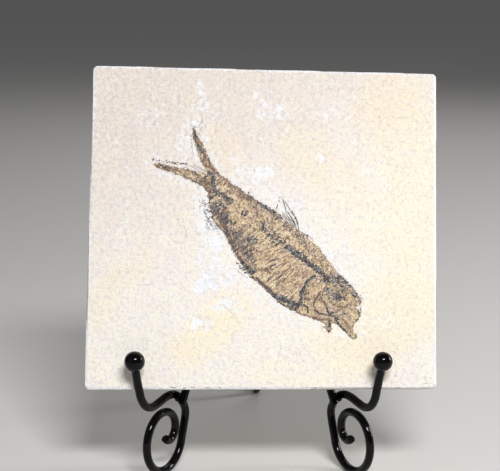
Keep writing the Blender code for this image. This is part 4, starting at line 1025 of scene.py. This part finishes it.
# %% The rear leg
REAR_FOOT_Y = 122.0
HOOK_RADIUS = 7.0
LEG_TOP = 93.5                      # up the slab
top = on_slab(MIDDLE, BEHIND + 2.4, LEG_TOP)
hook_middle = Vector((EASEL_X, SLAB_ORIGIN.y + REAR_FOOT_Y, WIRE_RADIUS - 0.25 + HOOK_RADIUS))
slope = math.atan2(top.z - WIRE_RADIUS, hook_middle.y - top.y)
hook = []
for share in np.linspace(0, 1, 21):
    angle = math.radians(270) - slope + (math.radians(45) + slope) * share
    hook.append(hook_middle + Vector((0, math.cos(angle), math.sin(angle))) * HOOK_RADIUS)
rear_leg = wire("rear_leg_enamelled", [top, top.lerp(hook[0], 0.5), *hook])

# %% [markdown]
# ## Balls on the arms
#
# The balls are 8 mm beads, pushed onto the wire and fixed with a drop of enamel
# that has run into a small collar. A sphere gets the collar from its lowest ring
# of faces, which is extruded a short way down the wire.

# %% Add the balls
COLLAR_START = 0.92                 # share of the radius below the middle
COLLAR_LENGTH = 0.45


def ball(name, line, diameter):
    """A bead on the first point of a wire's line, turned along the wire."""
    bpy.ops.object.select_all(action="DESELECT")
    tip = line[0]
    along = (tip - line[8]).normalized()
    bpy.ops.mesh.primitive_uv_sphere_add(segments=48, ring_count=32, radius=diameter / 2 * MM)
    bead = bpy.context.object
    bead.name = name
    heights = points_of(bead)[:, 2]
    bpy.ops.object.mode_set(mode="EDIT")
    select_points(bead, heights < -diameter / 2 * COLLAR_START)
    bpy.ops.mesh.extrude_region_move(TRANSFORM_OT_translate={"value": (0, 0, -COLLAR_LENGTH * MM)})
    bpy.ops.mesh.select_all(action="DESELECT")
    bpy.ops.object.mode_set(mode="OBJECT")
    bead.rotation_mode = "QUATERNION"
    bead.rotation_quaternion = Vector((0, 0, 1)).rotation_difference(along)
    bead.location = tip * MM
    only(bead)
    bpy.ops.object.transform_apply(location=True, rotation=True, scale=True)
    bpy.ops.object.shade_smooth()
    print(name, "is", diameter, "mm wide")
    return bead


left_ball = ball("left_ball_enamelled", left_line, 8.2)
right_ball = ball("right_ball_enamelled", right_line, 7.8)

# %% [markdown]
# ## Weld beads
#
# Where two wires meet behind the slab they are spot-welded and dipped in enamel,
# which leaves a small smooth lump over each joint.

# %% Add the weld beads
WELD_RADIUS = 1.1
LEG_WELDS = (94.5, 92.0)            # up the slab, where the rear leg meets the uprights


def weld(name, spots):
    bpy.ops.object.select_all(action="DESELECT")
    made = []
    for spot in spots:
        bpy.ops.mesh.primitive_ico_sphere_add(subdivisions=3, radius=WELD_RADIUS * MM, location=spot * MM)
        bpy.ops.object.mode_set(mode="EDIT")
        bpy.ops.transform.vertex_random(offset=0.07 * MM, seed=len(made) + 3)
        bpy.ops.object.mode_set(mode="OBJECT")
        made.append(bpy.context.object)
    for obj in made:
        obj.select_set(True)
    bpy.ops.object.join()
    beads = bpy.context.object
    beads.name = name
    bpy.ops.object.transform_apply(location=True, rotation=True, scale=True)
    bpy.ops.object.shade_smooth()
    print(name, "has", len(made), "beads")
    return beads


weld_spots = []
for side in (-1, 1):
    weld_spots.append(on_slab(MIDDLE + side * (bar_x - 2.0), BEHIND + 1.6, bar_z))
    weld_spots.append(on_slab(MIDDLE + side * (FOOT_X + 1.85), BEHIND + 0.5, UPRIGHT_Z[0] + 2.2))
weld_spots += [on_slab(MIDDLE, BEHIND + 1.0, z) for z in LEG_WELDS]
weld_beads = weld("weld_beads", weld_spots)

# %% [markdown]
# ## Colours and nodes
#
# Colours are written as sRGB hex, as a paint program shows them, and `linear`
# turns them into the values that a shader works with. A material is a chain of
# small boxes called nodes. `add_node` adds one of them, sets its properties and
# its inputs, and gives back its output, which the next node takes as an input.

# %% Helpers for materials
def linear(code):
    """An sRGB hex colour as linear red, green, blue and alpha."""
    channels = [int(code[k:k + 2], 16) / 255 for k in (0, 2, 4)]
    return (*[c / 12.92 if c < 0.04045 else ((c + 0.055) / 1.055) ** 2.4 for c in channels], 1.0)


def add_node(tree, kind, inputs, output=0, **settings):
    """Add a node. An input is a value, a hex colour, or the output of another node."""
    node = tree.nodes.new(kind)
    for name, value in settings.items():
        setattr(node, name, value)
    for name, value in inputs.items():
        if isinstance(value, bpy.types.NodeSocket):
            tree.links.new(value, node.inputs[name])
        else:
            node.inputs[name].default_value = linear(value) if isinstance(value, str) else value
    return node.outputs[output]


def new_material(name, roughness):
    material = bpy.data.materials.new(name)
    material.use_nodes = True
    shader = material.node_tree.nodes["Principled BSDF"]
    shader.inputs["Roughness"].default_value = roughness
    return material, material.node_tree, shader


MIX = "ShaderNodeMix"
MATH = "ShaderNodeMath"
RANGE = "ShaderNodeMapRange"
NOISE = "ShaderNodeTexNoise"
MAPPING = "ShaderNodeMapping"
ATTRIBUTE = "ShaderNodeAttribute"
TO_MM = (1 / MM,) * 3
print("material helpers ready; red at half strength is", [round(c, 3) for c in linear("800000")])

# %% [markdown]
# ## Lake limestone
#
# The stone is a very fine lime mud that settled in a lake and was split by hand.
# Its split face is matte, so it takes the light evenly, and it is covered with
# low rounded grains about 2 mm wide. Three sizes of noise speckle it: broad
# clouds of cream, grains of yellow and of blue-grey, and dark and pale pin-points.
# The finest noise is 0.7 mm wide. Real silt is ten times finer, but it would not
# show.

# %% Coordinates, tints and noises of the limestone
limestone, tree, shader = new_material("split lake limestone", 0.9)
shader.inputs["IOR"].default_value = 1.5
shader.inputs["Specular IOR Level"].default_value = 0.25
where = add_node(tree, "ShaderNodeTexCoord", {}, "Object")
upright = add_node(tree, MAPPING, {
    "Vector": where, "Scale": TO_MM, "Rotation": (LEAN, 0, 0),
    "Location": -(Matrix.Rotation(LEAN, 3, "X") @ SLAB_ORIGIN)})
tints = add_node(tree, ATTRIBUTE, {}, "Color", attribute_name="tints")
on_side = add_node(tree, ATTRIBUTE, {}, "Alpha", attribute_name="tints")
yellow_tint, white_and_highlight_tint, pink_and_shade_tint = [
    add_node(tree, "ShaderNodeSeparateColor", {0: tints}, channel) for channel in range(3)]
pebbles = add_node(tree, "ShaderNodeTexVoronoi", {
    "Vector": upright, "Scale": 1 / 1.9, "Smoothness": 0.35}, "Distance", feature="SMOOTH_F1")
fine, medium, broad = [
    add_node(tree, NOISE, {"Vector": upright, "Scale": 1 / size, "Detail": detail, "Roughness": roughness})
    for size, detail, roughness in ((0.7, 3.0, 0.65), (1.7, 2.0, 0.5), (8.0, 4.0, 0.6))]
print("limestone: noises of 0.7, 1.7 and 8 mm")

# %% Colour of the split face
# Each row lays a colour over the ones before it: the pattern that places it, the
# values of the pattern where it starts and where it is full, its strength, the
# colour and how it blends.
patchy_white_and_highlight = add_node(tree, MATH, {0: medium, 1: 2.0, 2: white_and_highlight_tint}, operation="MULTIPLY_ADD")
FACE_LAYERS = [
    (broad, 0.36, 0.64, 1.0, "F4F0E5", "MIX"),              # clouds of cream
    (yellow_tint, 0.0, 1.0, 0.72, "FAEBCC", "MIX"),         # stains of iron
    (medium, 0.50, 0.66, 0.6, "F6EACC", "MIX"),             # yellow grains
    (medium, 0.48, 0.34, 0.6, "D6D5D6", "MIX"),             # blue-grey grains
    (pink_and_shade_tint, 0.0, 1.0, 1.0, "E9E3E2", "MULTIPLY"),       # pinkish grey, and painted shade at the top left
    (patchy_white_and_highlight, 1.15, 1.90, 0.95, "EEF1F8", "MIX"),      # fresh stone, and the painted highlight along the rim
    (fine, 0.54, 0.68, 0.6, "C3B8AB", "MIX"),               # dark pin-points
    (fine, 0.46, 0.32, 0.5, "FFFCF4", "MIX"),               # pale pin-points
]
cream = "EFE8E6"
for pattern, start, full, strength, shade, blend in FACE_LAYERS:
    share = add_node(tree, RANGE, {"Value": pattern, "From Min": start, "From Max": full, "To Max": strength})
    cream = add_node(tree, MIX, {0: share, 6: cream, 7: shade}, 2, data_type="RGBA", blend_type=blend)
print("face of the limestone has", len(FACE_LAYERS), "layers of colour")

# %% [markdown]
# ### Layers on the sides
#
# The yearly layers of mud show on the sides as thin bands, about half a
# millimetre to 2 mm thick. A noise that is squeezed along the face draws them.

# %% Layers and painted shade on its sides, and its bump
squeezed = add_node(tree, MAPPING, {"Vector": upright, "Scale": (0.05, 1.0, 0.05)})
layers = add_node(tree, NOISE, {"Vector": squeezed, "Scale": 1 / 0.9, "Detail": 4.0, "Roughness": 0.65})
# The sides are a darker grey-tan than the face: partly the weathered stone of the sides, partly painted shade
# that keeps the underside dark.
side_colour_and_shade = "BCAE92"
for pattern, start, full, strength, shade in (
        (layers, 0.36, 0.64, 1.0, "DACEB7"), (fine, 0.5, 0.75, 0.4, "A5967D")):
    share = add_node(tree, RANGE, {"Value": pattern, "From Min": start, "From Max": full, "To Max": strength})
    side_colour_and_shade = add_node(tree, MIX, {0: share, 6: side_colour_and_shade, 7: shade}, 2, data_type="RGBA")
colour = add_node(tree, MIX, {0: on_side, 6: cream, 7: side_colour_and_shade}, 2, data_type="RGBA")
tree.links.new(colour, shader.inputs["Base Color"])
hollow = add_node(tree, RANGE, {"Value": pebbles, "From Min": 0.35, "From Max": 0.95, "To Max": -0.6})
side_layers = add_node(tree, MATH, {0: layers, 1: on_side}, operation="MULTIPLY")
height = hollow
for pattern, weight in ((fine, 0.6), (medium, 0.6), (side_layers, 0.9)):
    height = add_node(tree, MATH, {0: pattern, 1: weight, 2: height}, operation="MULTIPLY_ADD")
bump = add_node(tree, "ShaderNodeBump", {"Strength": 0.8, "Distance": 0.4 * MM, "Height": height})
tree.links.new(bump, shader.inputs["Normal"])
print(limestone.name, "has", len(tree.nodes), "nodes")

# %% [markdown]
# ## Fossil bone
#
# The fish is bone turned to a brown mineral, with a blue-black film of carbon on
# it. The bone is matte and fibrous, which gives the body its look of brushed
# suede: fine streaks run along the ribs, less than a millimetre apart. The film is
# broken into dark and silvery specks, because it has flaked off grain by grain.
# The real flakes are smaller than 0.2 mm; here they are drawn 0.5 mm wide.

# %% Coordinates, marks and noises of the bone
bone, tree, shader = new_material("mineralised fish bone", 0.75)
shader.inputs["IOR"].default_value = 1.55
shader.inputs["Specular IOR Level"].default_value = 0.3
where = add_node(tree, "ShaderNodeTexCoord", {}, "Object")
in_mm = add_node(tree, MAPPING, {"Vector": where, "Scale": TO_MM})
marks = add_node(tree, ATTRIBUTE, {}, "Color", attribute_name="marks")
ribbed_mark = add_node(tree, ATTRIBUTE, {}, "Alpha", attribute_name="marks")
film_mark, brown_mark, pale_mark = [
    add_node(tree, "ShaderNodeSeparateColor", {0: marks}, channel) for channel in range(3)]
# The UV map is in tenths of a metre along the backbone and across it. Along the
# body 100 turns it into millimetres; across, 16 makes each streak 5 mm long.
body_map = add_node(tree, "ShaderNodeUVMap", {}, uv_map="body map")
rib_space = add_node(tree, MAPPING, {"Vector": body_map, "Scale": (100, 16, 1)})
streaks, specks, grains, patches, broad = [
    add_node(tree, NOISE, {"Vector": space, "Scale": 1 / size, "Detail": detail, "Roughness": roughness})
    for space, size, detail, roughness in (
        (rib_space, 0.75, 1.5, 0.6), (in_mm, 0.5, 2.0, 0.55), (in_mm, 1.1, 3.0, 0.65),
        (in_mm, 2.6, 2.0, 0.5), (in_mm, 5.0, 2.0, 0.5))]
print("bone: noises of 0.5, 0.75, 1.1, 2.6 and 5 mm")

# %% Where the fibres, grains, brown and film are strong
# The head is smooth and the ribs are fibrous, so the grains are weaker on both.
off_head = add_node(tree, RANGE, {
    "Value": ribbed_mark, "From Min": 0.05, "From Max": 0.22, "To Min": 0.55, "To Max": 1.0})
off_ribs = add_node(tree, RANGE, {
    "Value": ribbed_mark, "From Min": 0.4, "From Max": 0.8, "To Min": 1.0, "To Max": 0.7})
grainy = add_node(tree, MATH, {0: off_head, 1: off_ribs}, operation="MULTIPLY")
rough_brown, rough_film = brown_mark, film_mark
for pattern, weight in ((grains, 1.2), (streaks, 1.0)):
    rough_brown = add_node(tree, MATH, {0: pattern, 1: weight, 2: rough_brown}, operation="MULTIPLY_ADD")
for pattern, weight in ((specks, 2.2), (streaks, 0.9)):
    rough_film = add_node(tree, MATH, {0: pattern, 1: weight, 2: rough_film}, operation="MULTIPLY_ADD")
print("bone has", len(tree.nodes), "nodes so far")

# %% Colour of the bone
# The rows are as in the limestone, with the places where each layer is allowed last.
EVERYWHERE = 1.0
BONE_LAYERS = [
    (broad, 0.38, 0.62, 1.0, "C7AE90", EVERYWHERE),         # clouds of tan
    (patches, 0.52, 0.66, 0.7, "A58C88", EVERYWHERE),       # mauve patches
    (patches, 0.45, 0.33, 0.6, "CBB27C", EVERYWHERE),       # ochre patches
    (pale_mark, 0.0, 1.0, 0.8, "D6C09A", EVERYWHERE),       # pale bone
    (streaks, 0.52, 0.61, 0.95, "86694F", ribbed_mark),     # dark fibres
    (streaks, 0.47, 0.39, 0.75, "E6D3B0", ribbed_mark),     # pale fibres
    (grains, 0.46, 0.34, 0.7, "E9D8BA", grainy),            # pale grains
    (grains, 0.52, 0.62, 0.85, "6A5145", grainy),           # dark grains
    (specks, 0.43, 0.34, 0.85, "F6EAD6", EVERYWHERE),       # glints
    (specks, 0.60, 0.68, 0.9, "4A3A38", EVERYWHERE),        # dark specks
    (rough_brown, 1.40, 1.95, 0.88, "614A44", EVERYWHERE),  # brown rims
]
tan = "B2977A"
for pattern, start, full, strength, shade, allowed in BONE_LAYERS:
    share = add_node(tree, RANGE, {"Value": pattern, "From Min": start, "From Max": full, "To Max": strength})
    share = add_node(tree, MATH, {0: share, 1: allowed}, operation="MULTIPLY")
    tan = add_node(tree, MIX, {0: share, 6: tan, 7: shade}, 2, data_type="RGBA")
film_share = add_node(tree, RANGE, {"Value": rough_film, "From Min": 1.95, "From Max": 2.25, "To Max": 0.92})
film_grain = add_node(tree, RANGE, {"Value": grains, "From Min": 0.50, "From Max": 0.62})
film_colour = add_node(tree, MIX, {0: film_grain, 6: "2A2B33", 7: "868A94"}, 2, data_type="RGBA")
tan = add_node(tree, MIX, {0: film_share, 6: tan, 7: film_colour}, 2, data_type="RGBA")
tree.links.new(tan, shader.inputs["Base Color"])
height = add_node(tree, MATH, {0: grains, 1: 0.6, 2: streaks}, operation="MULTIPLY_ADD")
height = add_node(tree, MATH, {0: film_share, 1: 0.25, 2: height}, operation="MULTIPLY_ADD")
bump = add_node(tree, "ShaderNodeBump", {"Strength": 0.7, "Distance": 0.25 * MM, "Height": height})
tree.links.new(bump, shader.inputs["Normal"])
print(bone.name, "has", len(tree.nodes), "nodes")

# %% [markdown]
# ## Crumbs, hairs, dirt and painted shade
#
# The crumbs are the same bone and film, seen grain by grain, so one crumb is
# brown and the next nearly black. The hairs are thin enough to let some of the
# stone's paleness through. The dirt in the hairline cracks is grey-brown lake
# mud, only a little darker than the stone. The same colour draws painted shade
# along the lower step of the large scar and in the chips of the bottom rim.

# %% Crumbs, hairs, dirt and painted shade
# Each row: name, roughness, width of the grains in millimetres, their detail, where
# their noise starts and ends to change colour, and the two colours.
small_stuff = []
for name, roughness, size, detail, start, full, dark, pale in (
        ("crumbs of bone and carbon", 0.6, 1.4, 1.0, 0.42, 0.58, "2D2B34", "665249"),
        ("thin bone hairs", 0.7, 1.0, 2.0, 0.40, 0.60, "5C5152", "A89E98"),
        ("lake mud in cracks, painted shade in chips", 0.9, 1.2, 2.0, 0.40, 0.60, "A09789", "CFC8BA")):
    material, tree, shader = new_material(name, roughness)
    where = add_node(tree, "ShaderNodeTexCoord", {}, "Object")
    grain = add_node(tree, NOISE, {"Vector": where, "Scale": 1 / (size * MM), "Detail": detail})
    share = add_node(tree, RANGE, {"Value": grain, "From Min": start, "From Max": full})
    colour = add_node(tree, MIX, {0: share, 6: dark, 7: pale}, 2, data_type="RGBA")
    tree.links.new(colour, shader.inputs["Base Color"])
    small_stuff.append(material)
crumb_stuff, hair_stuff, mud_and_chip_shade = small_stuff
print([material.name for material in small_stuff], "ready")

# %% [markdown]
# ## Black enamel
#
# The wire is steel, dipped in black gloss enamel. The coat is smooth and deep
# black, so lamps show in it as small sharp spots and the rest stays dark. It has
# a faint orange peel, a few millimetres wide, that makes the long highlights
# tremble, and a little dust.

# %% Enamel
enamel, tree, shader = new_material("black gloss enamel", 0.12)
shader.inputs["IOR"].default_value = 1.5
shader.inputs["Specular IOR Level"].default_value = 0.2
where = add_node(tree, "ShaderNodeTexCoord", {}, "Object")
in_mm = add_node(tree, MAPPING, {"Vector": where, "Scale": TO_MM})
peel = add_node(tree, NOISE, {"Vector": in_mm, "Scale": 1 / 2.6, "Detail": 1.0})
dust = add_node(tree, NOISE, {"Vector": in_mm, "Scale": 1 / 0.6, "Detail": 2.0})
dusty = add_node(tree, RANGE, {"Value": dust, "From Min": 0.60, "From Max": 0.72, "To Max": 0.10})
black = add_node(tree, MIX, {0: dusty, 6: "040405", 7: "3A3834"}, 2, data_type="RGBA")
tree.links.new(black, shader.inputs["Base Color"])
gloss = add_node(tree, RANGE, {
    "Value": peel, "From Min": 0.3, "From Max": 0.7, "To Min": 0.06, "To Max": 0.13})
tree.links.new(gloss, shader.inputs["Roughness"])
bump = add_node(tree, "ShaderNodeBump", {"Strength": 0.2, "Distance": 0.05 * MM, "Height": peel})
tree.links.new(bump, shader.inputs["Normal"])
print(enamel.name, "has", len(tree.nodes), "nodes")

# %% [markdown]
# ## Putting the pieces on the technical model
#
# Each piece gets its material and rides on the one body that this object has,
# and the solid that it stands for is hidden. The fine lines and crumbs stand for no solid.

# %% Fasten the pieces
FASTENED = [
    (slab, limestone, "limestone", "limestone_slab"), (fish, bone, "fossil_bone", "fossil_fish"),
    (fin_rays, hair_stuff, "fossil_bone", None), (hairs, hair_stuff, "fossil_bone", None),
    (cracks, mud_and_chip_shade, "limestone", None), (rim_chip_shade, mud_and_chip_shade, "limestone", None),
    (crumbs, crumb_stuff, "fossil_bone", None),
    (left_wire, enamel, "black_wire", "left_scroll_wire"),
    (right_wire, enamel, "black_wire", "right_scroll_wire"),
    (uprights[0], enamel, "black_wire", "left_upright"), (uprights[1], enamel, "black_wire", "right_upright"),
    (spreader, enamel, "black_wire", "spreader_bar"), (rear_leg, enamel, "black_wire", "rear_leg"),
    (left_ball, enamel, "black_wire", "left_ball"), (right_ball, enamel, "black_wire", "right_ball"),
    (weld_beads, enamel, "black_wire", None),
]
for piece, material, slot, node in FASTENED:
    piece.data.materials.clear()
    piece.data.materials.append(material)
    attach(piece, "root")
    if node:
        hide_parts(node)
print(len(FASTENED), "pieces fastened")

# %% [markdown]
# ## Floor, light and camera
#
# A plain pale floor carries the easel. A soft lamp shines from the upper right
# in front, so the balls throw short shadows down to the left. A narrow lamp on
# the right lights that side, a wide one lights the back, and a weak wide one and a
# pale sky fill the rest. The camera stands low in front, half a metre
# away, with a long lens that keeps the slab's sides nearly parallel.

# %% Floor
bpy.ops.object.select_all(action="DESELECT")
bpy.ops.mesh.primitive_plane_add(size=24, location=(0, 0, 0))
floor = bpy.context.object
floor.name = "floor"
floor_paint, tree, shader = new_material("pale matte floor", 0.9)
shader.inputs["Base Color"].default_value = linear("D4D2CF")
floor.data.materials.append(floor_paint)
print("floor is", [round(d) for d in floor.dimensions], "m wide")

# %% Lamps and sky
def lamp(name, azimuth, elevation, distance, width, height, power):
    """A flat lamp that looks at the slab; azimuth is to the right of straight in front."""
    target = Vector((0, -0.04, 0.1))
    right, up = math.radians(azimuth), math.radians(elevation)
    away = Vector((math.sin(right) * math.cos(up), -math.cos(right) * math.cos(up), math.sin(up)))
    bpy.ops.object.light_add(type="AREA", location=target + away * distance)
    light = bpy.context.object
    light.name = name
    light.data.shape = "RECTANGLE"
    light.data.size = width
    light.data.size_y = height
    light.data.energy = power
    light.rotation_euler = away.to_track_quat("Z", "Y").to_euler()


lamp("key lamp", 13, 40, 1.0, 0.38, 0.18, 9.5)
lamp("fill lamp", -50, 24, 1.3, 0.9, 0.9, 0.5)
lamp("side lamp", 100, 15, 0.9, 0.12, 0.4, 4.0)
lamp("back lamp", 160, 40, 1.4, 0.9, 0.9, 3.6)
sky = bpy.data.worlds.new("pale sky")
sky.use_nodes = True
sky.node_tree.nodes["Background"].inputs["Color"].default_value = linear("E9EAEC")
sky.node_tree.nodes["Background"].inputs["Strength"].default_value = 0.15
bpy.context.scene.world = sky
bpy.context.scene.view_settings.view_transform = "Standard"

# %% Camera
# It was measured from the slab's corners and the balls: 533 mm before the slab,
# 208.6 mm up, looking 11.3 degrees down. The lens is as wide as 1400 pixels are
# long in a frame 500 pixels wide.
LENS = 36 * 1400 / 500
CAMERA_FROM_SLAB = Vector((-4.2, -533.2, 208.6))
CAMERA_TILT = math.radians(11.3)
bpy.ops.object.select_all(action="DESELECT")
camera_place = Vector((SLAB_ORIGIN.x, SLAB_ORIGIN.y, 0)) + CAMERA_FROM_SLAB
bpy.ops.object.camera_add(location=camera_place * MM, rotation=(math.pi / 2 - CAMERA_TILT, 0, 0))
camera = bpy.context.object
camera.name = "camera"
camera.data.sensor_width = 36
camera.data.lens = LENS
camera.data.clip_start = 0.01
bpy.context.scene.camera = camera
print("camera", round(LENS, 1), "mm lens at", [round(v) for v in camera_place], "mm")
